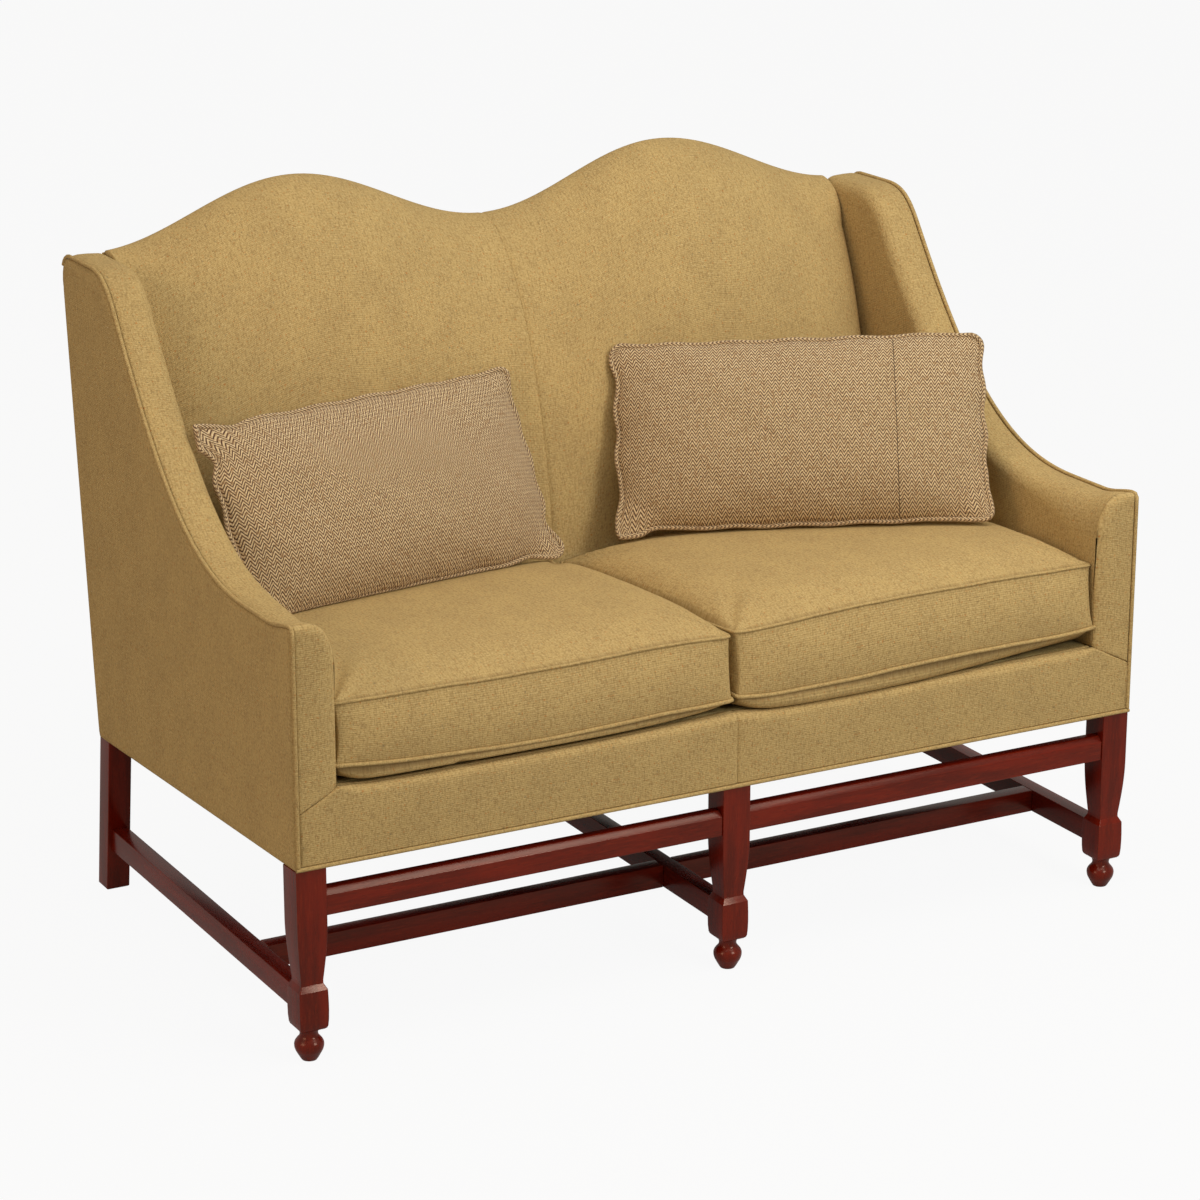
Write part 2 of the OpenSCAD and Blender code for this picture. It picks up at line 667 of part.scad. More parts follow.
module corner_blocks() {
    color(raw_wood) difference() {
        corner_place() translate([0, 0, block_z[0]]) linear_extrude(block_z[1] - block_z[0])
            polygon([[0, 0], [block_side, 0], [block_side, 18], [18, block_side], [0, block_side]]);
        corner_screws(2 * fit);
        corner_place() {
            translate([screw_in, 0, (block_z[0] + block_z[1]) / 2 - 10]) rotate([-90, 0, 0])
                translate([0, 0, screw_l - 22 - fit]) cylinder(d = screw_head_d + 2 * fit, h = block_side);
            translate([0, screw_in, (block_z[0] + block_z[1]) / 2 + 10]) rotate([0, 90, 0])
                translate([0, 0, screw_l - 22 - fit]) cylinder(d = screw_head_d + 2 * fit, h = block_side);
        }
    }
}
module frame_screws() {
    color("silver") corner_screws();
}

// Region under the arm and wing's frame line, and what stands over the seat rails
rail_path = side_path(y_front + front_pad + rest, false);
function below_path(d) = let (p = moved(rail_path, -d), e = p[len(p) - 1])
    concat(p, [[rear_y(e[1]) - skin / cos(back_rake), e[1]], [rear_y(rear_h) - skin / cos(back_rake), rear_h],
        [y_front + front_pad + rest, rear_h]]);
module over_rails() {
    intersection() {
        children();
        in_seat() translate([-sofa_w, -100, rail_h + rest]) cube([2 * sofa_w, seat_len + 400, 1000]);
    }
}
function back_strip(t0, t1) = [for (c = [[t0, rear_h - 60], [t0, wing_h + 40], [t1, wing_h + 40], [t1, rear_h - 60]])
    [rear_y(c[1]) - c[0] / cos(back_rake), c[1]]];
module back_post(hand) {
    color(raw_wood) difference() {
        flip(hand) {
            over_rails() intersection() {
                side_slab(post_x, frame_x, below_path(arm_cap + rest));
                side_slab(post_x, frame_x, back_strip(skin, skin + post_d));
            }
            post_peg(rear_peg_y);
        }
        back_dowels(2 * fit);
    }
}
module back_post_left() back_post(-1);
module back_post_right() back_post(1);

// The sawn rail that follows the scoop, and the post under its front end
module arm_rail(hand) {
    outer = moved(rail_path, -arm_cap - rest);
    inner = moved(rail_path, -arm_cap - rest - arm_rail_d);
    color(raw_wood) flip(hand) difference() {
        side_slab(post_x, frame_x, concat([for (i = [0:switch_i]) outer[i]],
            [for (i = [switch_i:-1:0]) inner[i]]));
        side_slab(post_x - 1, frame_x + 1, back_strip(-40, skin + post_d + rest));
    }
}
module arm_rail_left() arm_rail(-1);
module arm_rail_right() arm_rail(1);
module arm_post(hand) {
    top = arm_h - arm_cap - arm_rail_d - 2 * rest;
    y0 = y_front + front_pad + rest;
    color(raw_wood) flip(hand) {
        over_rails() side_slab(post_x, frame_x, [[y0, rear_h], [y0, top], [y0 + arm_post_d, top],
            [y0 + arm_post_d, rear_h]]);
        post_peg(peg_y);
    }
}
module arm_post_left() arm_post(-1);
module arm_post_right() arm_post(1);

// Back rails: the top rail carries the double hump
module back_board(points) {
    in_back() front_slab(-skin - back_rail_t, -skin, points);
}
function up_back(z) = (z - rear_h) / cos(back_rake);
hump_n = 20;
module back_top_rail() {
    x0 = arm_x - rest;
    x1 = post_x - fit;
    notch = up_back(wing_h - wing_corner_r - rest - back_front * tan(back_rake));
    color(raw_wood) difference() {
        back_board(concat([[-x1, notch], [-x0, notch]],
            [for (i = [-hump_n:hump_n]) [x0 * i / hump_n, up_back(back_h(x0 * i / hump_n) - back_cap)]],
            [[x0, notch], [x1, notch], [x1, top_rail_v], [-x1, top_rail_v]]));
        back_dowels(2 * fit);
    }
}
module back_lower_rail() {
    x1 = post_x - fit;
    color(raw_wood) difference() {
        back_board([[-x1, low_rail_v[0]], [x1, low_rail_v[0]], [x1, low_rail_v[1]], [-x1, low_rail_v[1]]]);
        back_dowels(2 * fit);
    }
}
module back_post_centre() {
    x1 = centre_post_w / 2;
    color(raw_wood) difference() {
        back_board([[-x1, low_rail_v[1] + fit], [x1, low_rail_v[1] + fit], [x1, top_rail_v - fit],
            [-x1, top_rail_v - fit]]);
        back_dowels(2 * fit);
    }
}
module back_webbing() {
    pitch = (post_x - web_w / 2) / web_strips;
    color("#b79a64") in_back() for (h = [-1, 1]) for (i = [0:web_strips - 1])
        translate([h * (i + 0.5) * pitch - web_w / 2, -back_front - rest - web_t, low_rail_v[0] + web_lap])
            cube([web_w, web_t, top_rail_v + top_rail_web - 2 * web_lap - low_rail_v[0]]);
}

// Sinuous springs lie on the rails and are held by bent clips
spring_z = rail_h + 1.8;
clip_l = 16;
spring_y = [rail_y + 16, rail_end - 16];
spring_pitch = (arm_x - 60) / springs_per_seat;
function spring_x(i) = 50 + (i + 0.5) * spring_pitch;
function wave(s) = spring_a * sin(360 * 5.5 * s) * min(1, 12 * s, 12 * (1 - s));
module seat_spring(x) {
    n = 88;
    l = spring_y[1] - spring_y[0];
    line = [for (i = [0:n]) [wave(i / n), spring_y[0] + l * i / n]];
    left = moved(line, spring_d / 2);
    right = moved(line, -spring_d / 2);
    translate([x, 0, spring_z]) linear_extrude(spring_d)
        polygon(concat(left, [for (i = [n:-1:0]) right[i]]));
}
module seat_springs() {
    color("dimgray") in_seat() for (h = [-1, 1]) for (i = [0:springs_per_seat - 1])
        seat_spring(h * spring_x(i));
}
module spring_clips() {
    t = 1.2;
    z0 = rail_h + rest;
    z1 = spring_z + spring_d + rest;
    color("gray") in_seat() for (h = [-1, 1]) for (i = [0:springs_per_seat - 1]) for (k = [0, 1])
        translate([h * spring_x(i) - 11, spring_y[k], 0]) mirror([0, k, 0])
            side_slab(0, 22, [[-3, z0], [clip_l - 4, z0], [clip_l - 4, z0 + t], [-3 + t, z0 + t],
                [-3 + t, z1], [clip_l - 6, z1], [clip_l - 6, z1 + t], [-3, z1 + t]]);
}
hessian_z = spring_z + spring_d + rest + 1.2 + rest;
module seat_panel(z0, z1, y0, y1, x1) {
    translate([-x1, y0, z0]) cube([2 * x1, y1 - y0, z1 - z0]);
}
flap_y = rail_y + 10;
deck_y1 = seat_len - pad_rear - 8;
module seat_hessian() {
    color("#b9a06f") in_seat()
        seat_panel(hessian_z, hessian_z + cloth_t, flap_y + rest, deck_y1, post_x - 1);
}
module seat_deck() {
    color("#8d7a4c") in_seat()
        seat_panel(deck_z - deck_t, deck_z, flap_y + rest, deck_y1, post_x - 1);
}
module dust_cover() {
    edge = 14;
    clear = 1;
    color("#191919") in_seat() difference() {
        seat_panel(-rest - cloth_t, -rest, edge, seat_len - edge, half_w - edge);
        for (x = [-leg_cx, 0, leg_cx])
            translate([x - leg_half - clear, -50, -20]) cube([leg_w + 2 * clear, 50 + leg_set + leg_w + 4, 40]);
        for (x = [-rear_cx, 0, rear_cx])
            translate([x - rear_leg_w / 2 - clear, seat_len - rear_leg_w - 4, -20])
                cube([rear_leg_w + 2 * clear, 120, 40]);
    }
}

// Front border: the padded cover of the front rail, mitred to the arm fronts
mitre_in = deck_z;
mitre_out = deck_z - 34;
trim_x = half_w - welt_d - rest;
function upright(y, z) = [y - z * tan(seat_pitch), z];
module front_border(hand) {
    z0 = welt_d + rest;
    z1 = deck_z;
    rail_top = rail_h + rest;
    color(cloth) flip(hand) in_seat() difference() {
        union() {
            side_slab(rest / 2, trim_x, concat([upright(0, z0)],
                [for (i = [0:6]) let (a = 180 - 15 * i)
                    upright(border_r + border_r * cos(a), z1 - border_r + border_r * sin(a))],
                [upright(front_pad, z1), upright(front_pad, rail_top), [front_pad, rail_top], [front_pad, z0]]));
            side_slab(rest / 2, post_x - rest, [[front_pad / 2, rail_top], [front_pad / 2, z1], [flap_y, z1],
                [flap_y, rail_top]]);
        }
        front_slab(-20, front_pad + rest, [[arm_x, mitre_in], [half_w, mitre_out], [half_w, z1 + 20],
            [arm_x, z1 + 20]]);
    }
}
module front_border_left() front_border(-1);
module front_border_right() front_border(1);

// Arm front: the padded panel over the front post, mitred to the front border
module arm_front(hand) {
    top = arm_front_h;
    base = front_h + rest;
    round_top = [for (i = [0:6]) let (a = 180 - 15 * i)
        [arm_x + arm_edge_r + arm_edge_r * cos(a), top - arm_edge_r + arm_edge_r * sin(a)]];
    color(cloth) flip(hand) front_slab(y_front, y_front + front_pad, concat(
        [[arm_x, base + mitre_in],
         [trim_x, base + mitre_in + (mitre_out - mitre_in) * (trim_x - arm_x) / arm_w], [trim_x, top]],
        [for (i = [6:-1:0]) round_top[i]]));
}
module arm_front_left() arm_front(-1);
module arm_front_right() arm_front(1);

// Inside cover and padding of an arm and wing, with its rounded edge and the top band
module arm_pad(hand) {
    y0 = y_front + front_pad + rest;
    top = side_path(y0, true);
    under = moved(rail_path, -arm_cap);
    y_end = rear_y(deck_h(y_rear)) - (pad_rear + 1) / cos(back_rake);
    y_last = top[switch_i][0];
    edge_n = 4;
    edge = [for (i = [0:edge_n]) let (a = 90 * i / edge_n) arm_edge_r * [1 - sin(a), 1 - cos(a)]];
    rings = [for (i = [0:len(top) - 1]) let (
            p = top[i],
            m = i == 0 ? [0, 1] : path_normal(top, i),
            u = under[i],
            long = i <= switch_i,
            yb = y0 + (p[0] - y0) * (y_end - y0) / (y_last - y0),
            low = p - (arm_edge_r + 1) * m,
            foot = long ? [yb, deck_h(yb) + rest] : low)
        concat(
            [[trim_x, p[0], p[1]]],
            [for (e = edge) [arm_x + e[0], p[0] - e[1] * m[0], p[1] - e[1] * m[1]]],
            [[arm_x, foot[0], foot[1]], [arm_x + inner_pad, foot[0], foot[1]],
             [arm_x + inner_pad, u[0], u[1]], [trim_x, u[0], u[1]]])];
    color(cloth) flip(hand) loft(rings);
}
module arm_pad_left() arm_pad(-1);
module arm_pad_right() arm_pad(1);

// Line of the welt up the arm's front edge and over the arm and wing
function welt_path() = let (top = side_path(y_front, true)) concat(
    [for (d = [front_h - arm_front_h + welt_d + 1, -180, -60, -12, -6]) [y_front, arm_front_h + d]],
    [[y_front + 2, arm_front_h - 2]],
    [for (i = [1:len(top) - 1]) if (i != switch_i + 1) top[i]]);

// Outside cover of an arm and wing
module outside_arm(hand) {
    top = moved(welt_path(), -welt_r - rest);
    corner = [for (a = [corner_end - 12, corner_end - 24]) corner_c + (wing_corner_r - welt_r - rest) * [cos(a), sin(a)]];
    color(cloth) flip(hand) side_slab(frame_x + rest, half_w, concat(top, corner,
        [[rear_y(wing_h - wing_corner_r - 20), wing_h - wing_corner_r - 20], [y_rear, rear_h],
         [top[0][0], front_h - (welt_r + rest) * tan(seat_pitch)]]));
}
module outside_arm_left() outside_arm(-1);
module outside_arm_right() outside_arm(1);

// Inside cover and padding of one half of the back, rolled over the top rail
function back_section(x) = let (
        top = back_h(x),
        zb = deck_h(y_rear - back_t + 14) + rest,
        zr = deck_h(y_rear - pad_rear) + rest,
        n = 18,
        rail_z = top - back_cap + hump_gap)
    concat(
        [for (a = [90, 60, 30]) let (z = top - back_drop * (1 - cos(a)))
            [x, rear_y(z) - skin - (back_crest - skin) * (1 - sin(a)), z]],
        [for (k = [0:n]) let (z = top - (top - zb) * pow(k / n, 1.7)) [x, inside_y(x, z), z]],
        [[x, rear_y(zr) - pad_rear / cos(back_rake), zr],
         [x, behind(pad_rear, rail_z)[0], behind(pad_rear, rail_z)[1]],
         [x, behind(skin, rail_z)[0], behind(skin, rail_z)[1]]]);
inside_n = 15;
module inside_back(hand) {
    flat_end = back_half - back_fall_w;
    stations = concat([for (i = [0:inside_n]) rest / 2 + (flat_end - rest / 2) * i / inside_n],
        [for (u = [0.3, 0.55, 0.75, 0.88, 0.96, 1]) flat_end + back_fall_w * u]);
    color(cloth) flip(hand) loft([for (i = [len(stations) - 1:-1:0]) back_section(stations[i])]);
}
module inside_back_left() inside_back(-1);
module inside_back_right() inside_back(1);

// Outside cover of the back
module outside_back() {
    x1 = frame_x - rest;
    side = up_back(wing_h - wing_corner_r + 8);
    xs = arm_x + 2;
    color(cloth) in_back() front_slab(-cover_t, 0, concat(
        [[-x1, 0], [x1, 0], [x1, side], [xs, side]],
        [for (i = [hump_n:-1:-hump_n]) let (x = (xs - 1) * i / hump_n) [x, up_back(back_h(x) - back_drop)]],
        [[-xs, side], [-x1, side]]));
}

// Welts: a round cord in its cover, along the outer edge of the arm and wing
module arm_welt(hand) {
    path = welt_path();
    sides = 8;
    rings = [for (i = [0:len(path) - 1]) let (m = path_normal(path, i))
        [for (k = [sides:-1:1]) let (a = 360 * k / sides)
            [half_w - welt_r - welt_r * cos(a), path[i][0] + welt_r * sin(a) * m[0],
             path[i][1] + welt_r * sin(a) * m[1]]]];
    color(cloth) flip(hand) loft(rings);
}
module arm_welt_left() arm_welt(-1);
module arm_welt_right() arm_welt(1);
module base_welt() {
    color(cloth) in_seat() translate([-half_w, 0, welt_r]) rotate([0, 90, 0])
        cylinder(d = welt_d, h = sofa_w);
}

// Seat cushion: crowned, with drawn-in boxing between two welts, round a foam core
core_in = 42;
module core_box(belly, grow) {
    translate([core_in - grow, core_in - grow, belly + 4 - grow])
        cube([cushion_w - 2 * core_in + 2 * grow, cushion_d - 2 * core_in + 2 * grow, core_h + 2 * grow]);
}
zip_w = 24;
zip_seat = 7;
module cushion_frame(hand) {
    flip(hand) in_seat() translate([cushion_x0, cushion_y0, deck_z + rest]) children();
}
module zip_place(belly) {
    translate([cushion_w / 2 - zip_l / 2, cushion_d - cushion_y0, belly + boxing_h / 2]) children();
}
module cushion_shape(belly) {
    rings = cushion_rings(belly);
    n = len(ring_points(rings[0], belly));
    m = len(rings);
    mid = [cushion_w / 2, (cushion_d - cushion_y0) / 2];
    top_z = belly + boxing_h + crown_h - sunk(mid[1]);
    polyhedron(
        points = concat([for (r = rings) each ring_points(r, belly)],
            [[mid[0], mid[1], 0], [mid[0], mid[1], top_z]]),
        faces = concat(
            [for (j = [0:m - 2]) for (i = [0:n - 1]) let (k = (i + 1) % n)
                each [[j * n + i, (j + 1) * n + i, j * n + k],
                      [j * n + k, (j + 1) * n + i, (j + 1) * n + k]]],
            [for (i = [0:n - 1]) [m * n, i, (i + 1) % n]],
            [for (i = [0:n - 1]) [m * n + 1, (m - 1) * n + (i + 1) % n, (m - 1) * n + i]]));
}
module seat_cushion(hand, belly) {
    color(cloth) cushion_frame(hand) difference() {
        cushion_shape(belly);
        core_box(belly, rest);
        zip_place(belly) translate([-1, -zip_seat, -zip_w / 2 - 1]) cube([zip_l + 2, 60, zip_w + 2]);
    }
}
module seat_cushion_left() seat_cushion(-1, belly_h[0]);
module seat_cushion_right() seat_cushion(1, belly_h[1]);
module cushion_core(hand, belly) {
    color("#e8e0c8") cushion_frame(hand) core_box(belly, 0);
}
module cushion_core_left() cushion_core(-1, belly_h[0]);
module cushion_core_right() cushion_core(1, belly_h[1]);

// Zip in the rear boxing, with a slider that runs along it
tape_t = 1.2;
chain_w = 6;
slider = [11, 3.4, 14];
module cushion_zip(hand, belly) {
    color("#6f6136") cushion_frame(hand) zip_place(belly) {
        translate([0, -zip_seat + rest, -zip_w / 2]) cube([zip_l, tape_t, zip_w]);
        translate([0, -zip_seat + rest, -chain_w / 2]) cube([zip_l, tape_t + 1, chain_w]);
    }
}
module zip_left() cushion_zip(-1, belly_h[0]);
module zip_right() cushion_zip(1, belly_h[1]);
module zip_slider(hand, belly) {
    y0 = -zip_seat + rest + tape_t + 1 + rest;
    color("#b08d57") cushion_frame(hand) zip_place(belly) {
        translate([2, y0, -slider[0] / 2]) cube([slider[2], slider[1], slider[0]]);
        translate([slider[2] + 1, y0 + slider[1] / 2 - 0.6, -2.5]) cube([20, 1.2, 5]);
    }
}
module zip_slider_left() zip_slider(-1, belly_h[0]);
module zip_slider_right() zip_slider(1, belly_h[1]);

// Lumbar pillow: domed faces, edges pulled in between the corners
module pillow_shape() {
    nx = pillow_nx + 1;
    ny = pillow_ny + 1;
    front = nx * ny;
    edge = concat([for (i = [0:nx - 2]) i], [for (j = [0:ny - 2]) j * nx + nx - 1],
        [for (i = [nx - 1:-1:1]) (ny - 1) * nx + i], [for (j = [ny - 1:-1:1]) j * nx]);
    polyhedron(
        points = [for (side = [-1, 1]) for (j = [0:pillow_ny]) for (i = [0:pillow_nx]) pillow_point(i, j, side)],
        faces = concat(
            [for (j = [0:ny - 2]) for (i = [0:nx - 2]) let (a = j * nx + i)
                each [[a, a + nx, a + 1], [a + 1, a + nx, a + nx + 1]]],
            [for (j = [0:ny - 2]) for (i = [0:nx - 2]) let (a = front + j * nx + i)
                each [[a, a + 1, a + nx], [a + 1, a + nx + 1, a + nx]]],
            [for (i = [0:len(edge) - 1]) let (a = edge[i], b = edge[(i + 1) % len(edge)])
                each [[a, b, front + a], [b, front + b, front + a]]]));
}
module pillow(a, hand, belly) {
    color(tweed) translate(pillow_place(a, hand, belly))
        rotate([0, 0, a[0]]) rotate([a[1], 0, 0]) rotate([0, a[2], 0]) pillow_shape();
}
module pillow_left() pillow(pillow_left_angles, -1, belly_h[0]);
module pillow_right() pillow(pillow_right_angles, 1, belly_h[1]);

leg_front_left();
leg_front_middle();
leg_front_right();
leg_rear_left();
leg_rear_middle();
leg_rear_right();
side_stretcher_left();
side_stretcher_right();
centre_stretcher();
medial_stretcher_left();
medial_stretcher_right();
front_stretcher_left();
front_stretcher_right();
seat_rail_front();
seat_rail_rear();
seat_rail_left();
seat_rail_right();
seat_rail_centre();
corner_blocks();
frame_screws();
frame_dowels();
back_post_left();
back_post_right();
back_post_centre();
back_top_rail();
back_lower_rail();
arm_post_left();
arm_post_right();
arm_rail_left();
arm_rail_right();
seat_springs();
spring_clips();
seat_hessian();
seat_deck();
back_webbing();
dust_cover();
front_border_left();
front_border_right();
arm_front_left();
arm_front_right();
arm_pad_left();
arm_pad_right();
outside_arm_left();
outside_arm_right();
inside_back_left();
inside_back_right();
outside_back();
arm_welt_left();
arm_welt_right();
base_welt();
cushion_core_left();
cushion_core_right();
seat_cushion_left();
seat_cushion_right();
zip_left();
zip_right();
zip_slider_left();
zip_slider_right();
pillow_left();
pillow_right();
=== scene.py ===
"""Two-seat wing-back loveseat: covers, cushions, pillows, show wood and finishes on the frame."""

import logging
import math
from dataclasses import dataclass
from enum import Enum

import bpy
import numpy as np
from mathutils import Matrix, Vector


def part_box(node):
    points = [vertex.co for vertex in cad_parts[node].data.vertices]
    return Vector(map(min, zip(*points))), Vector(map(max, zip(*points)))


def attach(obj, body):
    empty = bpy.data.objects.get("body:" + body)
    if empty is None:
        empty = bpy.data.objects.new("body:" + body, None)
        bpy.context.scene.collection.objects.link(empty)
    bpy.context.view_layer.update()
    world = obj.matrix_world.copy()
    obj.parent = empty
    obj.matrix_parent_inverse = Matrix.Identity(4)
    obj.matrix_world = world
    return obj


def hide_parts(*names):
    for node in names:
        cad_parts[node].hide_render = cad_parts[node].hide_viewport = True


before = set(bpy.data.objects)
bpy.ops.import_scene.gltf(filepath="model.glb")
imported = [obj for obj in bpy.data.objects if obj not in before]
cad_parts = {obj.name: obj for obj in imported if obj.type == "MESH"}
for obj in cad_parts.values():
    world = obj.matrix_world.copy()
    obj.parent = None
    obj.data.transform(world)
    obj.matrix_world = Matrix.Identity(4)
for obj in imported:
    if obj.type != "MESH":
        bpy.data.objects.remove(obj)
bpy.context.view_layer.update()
MM = 0.001
Array, Value = np.ndarray, np.ndarray | float
Material, Mesh, Object = bpy.types.Material, bpy.types.Mesh, bpy.types.Object
Node, Socket, Tree = bpy.types.Node, bpy.types.NodeSocket, bpy.types.NodeTree
log = logging.getLogger("loveseat")


# ---------------------------------------------------------------- small helpers


def linear(colour: str) -> tuple[float, float, float, float]:
    """Turns an sRGB hex colour such as "#b4965f" into linear red, green, blue and alpha."""
    parts = [int(colour[i:i + 2], 16) / 255 for i in (1, 3, 5)]
    red, green, blue = (c / 12.92 if c <= 0.04045 else ((c + 0.055) / 1.055) ** 2.4 for c in parts)
    return red, green, blue, 1.0


def add_node(tree: Tree, kind: str, inputs: dict | None = None, **settings) -> Node:
    """Adds a node with its settings, values and links.

    Args:
        tree: the node tree.
        kind: the node's type name.
        inputs: a value, or the socket that links to it, for each input by name or number.
        settings: the node's own properties.

    Returns:
        The new node.
    """
    made = tree.nodes.new(kind)
    for key, value in settings.items():
        setattr(made, key, value)
    for key, value in (inputs or {}).items():
        if isinstance(value, Socket):
            tree.links.new(value, made.inputs[key])
        else:
            made.inputs[key].default_value = value
    return made


def put(tree: Tree, kind: str, inputs: dict | None = None, out: int | str = 0,
        **settings) -> Socket:
    """Adds a node and gives one of its outputs."""
    return add_node(tree, kind, inputs, **settings).outputs[out]


def arithmetic(tree: Tree, way: str, *terms: Socket | float) -> Socket:
    """One sum on sockets or numbers."""
    return put(tree, "ShaderNodeMath", dict(enumerate(terms)), operation=way)


def xyz(*parts: Value) -> Array:
    """Coordinates side by side on a last axis, each spread to the shape of all."""
    return np.stack(np.broadcast_arrays(*parts), axis=-1)


def ease(t: Value) -> Value:
    """A smooth step from 0 to 1."""
    return (1 - np.cos(np.pi * t)) / 2


def bezier(ends: Array, t: Array) -> Array:
    """Points on a cubic curve through its two ends, for each t."""
    t = t[:, None]
    return ((1 - t) ** 3 * ends[0] + 3 * t * (1 - t) ** 2 * ends[1]
            + 3 * t * t * (1 - t) * ends[2] + t ** 3 * ends[3])


def run_length(points: Array) -> Array:
    """Length along a line at each of its points, from 0."""
    return np.append(0.0, np.cumsum(np.linalg.norm(np.diff(points, axis=0), axis=1)))


def ring_lengths(rings: Array) -> Array:
    """Length round each ring at each of its points, with 0 where it closes."""
    return np.stack([np.append(run_length(ring), 0) for ring in rings])


def closed(ring: Array) -> Array:
    """A ring with its first point again at its end."""
    return np.concatenate([ring, ring[:1]])


def spaced(points: Array, gap: float) -> Array:
    """The same line with points about gap apart."""
    length = run_length(points)
    places = np.linspace(0, length[-1], max(2, int(length[-1] / gap) + 1))
    return xyz(*(np.interp(places, length, column) for column in points.T))


def normals_2d(path: Array) -> Array:
    """Unit normals on the left of a flat path."""
    way = np.concatenate([path[1:2] - path[:1], path[2:] - path[:-2], path[-1:] - path[-2:-1]])
    return xyz(-way[:, 1], way[:, 0]) / np.linalg.norm(way, axis=1)[:, None]


def inset(outline: Array, depth: float) -> Array:
    """A closed anticlockwise outline moved inwards by a depth."""
    ahead = np.roll(outline, -1, axis=0) - outline
    side = xyz(-ahead[:, 1], ahead[:, 0]) / np.linalg.norm(ahead, axis=1)[:, None]
    both = side + np.roll(side, 1, axis=0)
    return outline + depth * both * (2 / np.sum(both * both, axis=1))[:, None]


def rounded(corners: list[tuple[float, float]], radius: float, steps: int = 3) -> Array:
    """Rounds a closed outline's corners.

    Args:
        corners: the corners, anticlockwise.
        radius: the distance from each corner at which the rounding starts.
        steps: faces round each corner.

    Returns:
        The outline's points.
    """
    here = np.array(corners, float)
    legs = [np.roll(here, k, axis=0) - here for k in (1, -1)]
    a, b = (here + leg / np.linalg.norm(leg, axis=1)[:, None] * radius for leg in legs)
    t = np.linspace(0, 1, steps + 1)[:, None]
    a, b, here = a[:, None], b[:, None], here[:, None]
    return ((1 - t) ** 2 * a + 2 * t * (1 - t) * here + t * t * b).reshape(-1, 2)


def eased_corner(left: Array, low: Array, radius: float) -> tuple[Array, Array]:
    """Bends a square grid's corner to a radius.

    Args:
        left: each point's distance from the nearer side.
        low: each point's distance from the nearer end.
        radius: the corner's radius.

    Returns:
        Both distances afterwards.
    """
    a, b = (radius - left) / radius, (radius - low) / radius
    corner = (a > 0) & (b > 0)
    most, least = np.maximum(a, b), np.minimum(a, b)
    angle = np.where(corner, np.pi / 4 * least / np.maximum(most, 1e-9), 0)
    angle = np.where(a >= b, angle, np.pi / 2 - angle)
    return (np.where(corner, radius - radius * most * np.cos(angle), left),
            np.where(corner, radius - radius * most * np.sin(angle), low))


def rim_of(ids: Array) -> Array:
    """Point numbers round a grid's border, once round."""
    return np.concatenate([ids[:-1, 0], ids[-1, :-1], ids[:0:-1, -1], ids[0, :0:-1]])


def hand_soft(p: Array, wave: float, phase: float = 0.0) -> Array:
    """A gentle, repeatable unevenness over points in mm, as hand-stuffed padding has."""
    x, y, z = (p[..., k] / wave * 2 * math.pi for k in range(3))
    return (np.sin(x + 0.7 * z + phase) * np.cos(0.8 * z - 0.3 * y + 1.3 + phase)
            + 0.6 * np.sin(1.7 * y + 0.9 * z + 2.1 * phase) * np.cos(1.3 * x + 0.4)
            + 0.4 * np.sin(2.3 * x - 1.9 * y + 2.9 * z + 3 * phase)) / 2


class Side(Enum):
    """Left or right as seen from the front."""

    LEFT = -1
    RIGHT = 1

    @property
    def word(self) -> str:
        """The side's name in a piece's name."""
        return self.name.lower()

    def mirror(self, points: Array) -> Array:
        """Points of the right side, on this side."""
        return points * [self.value, 1, 1]


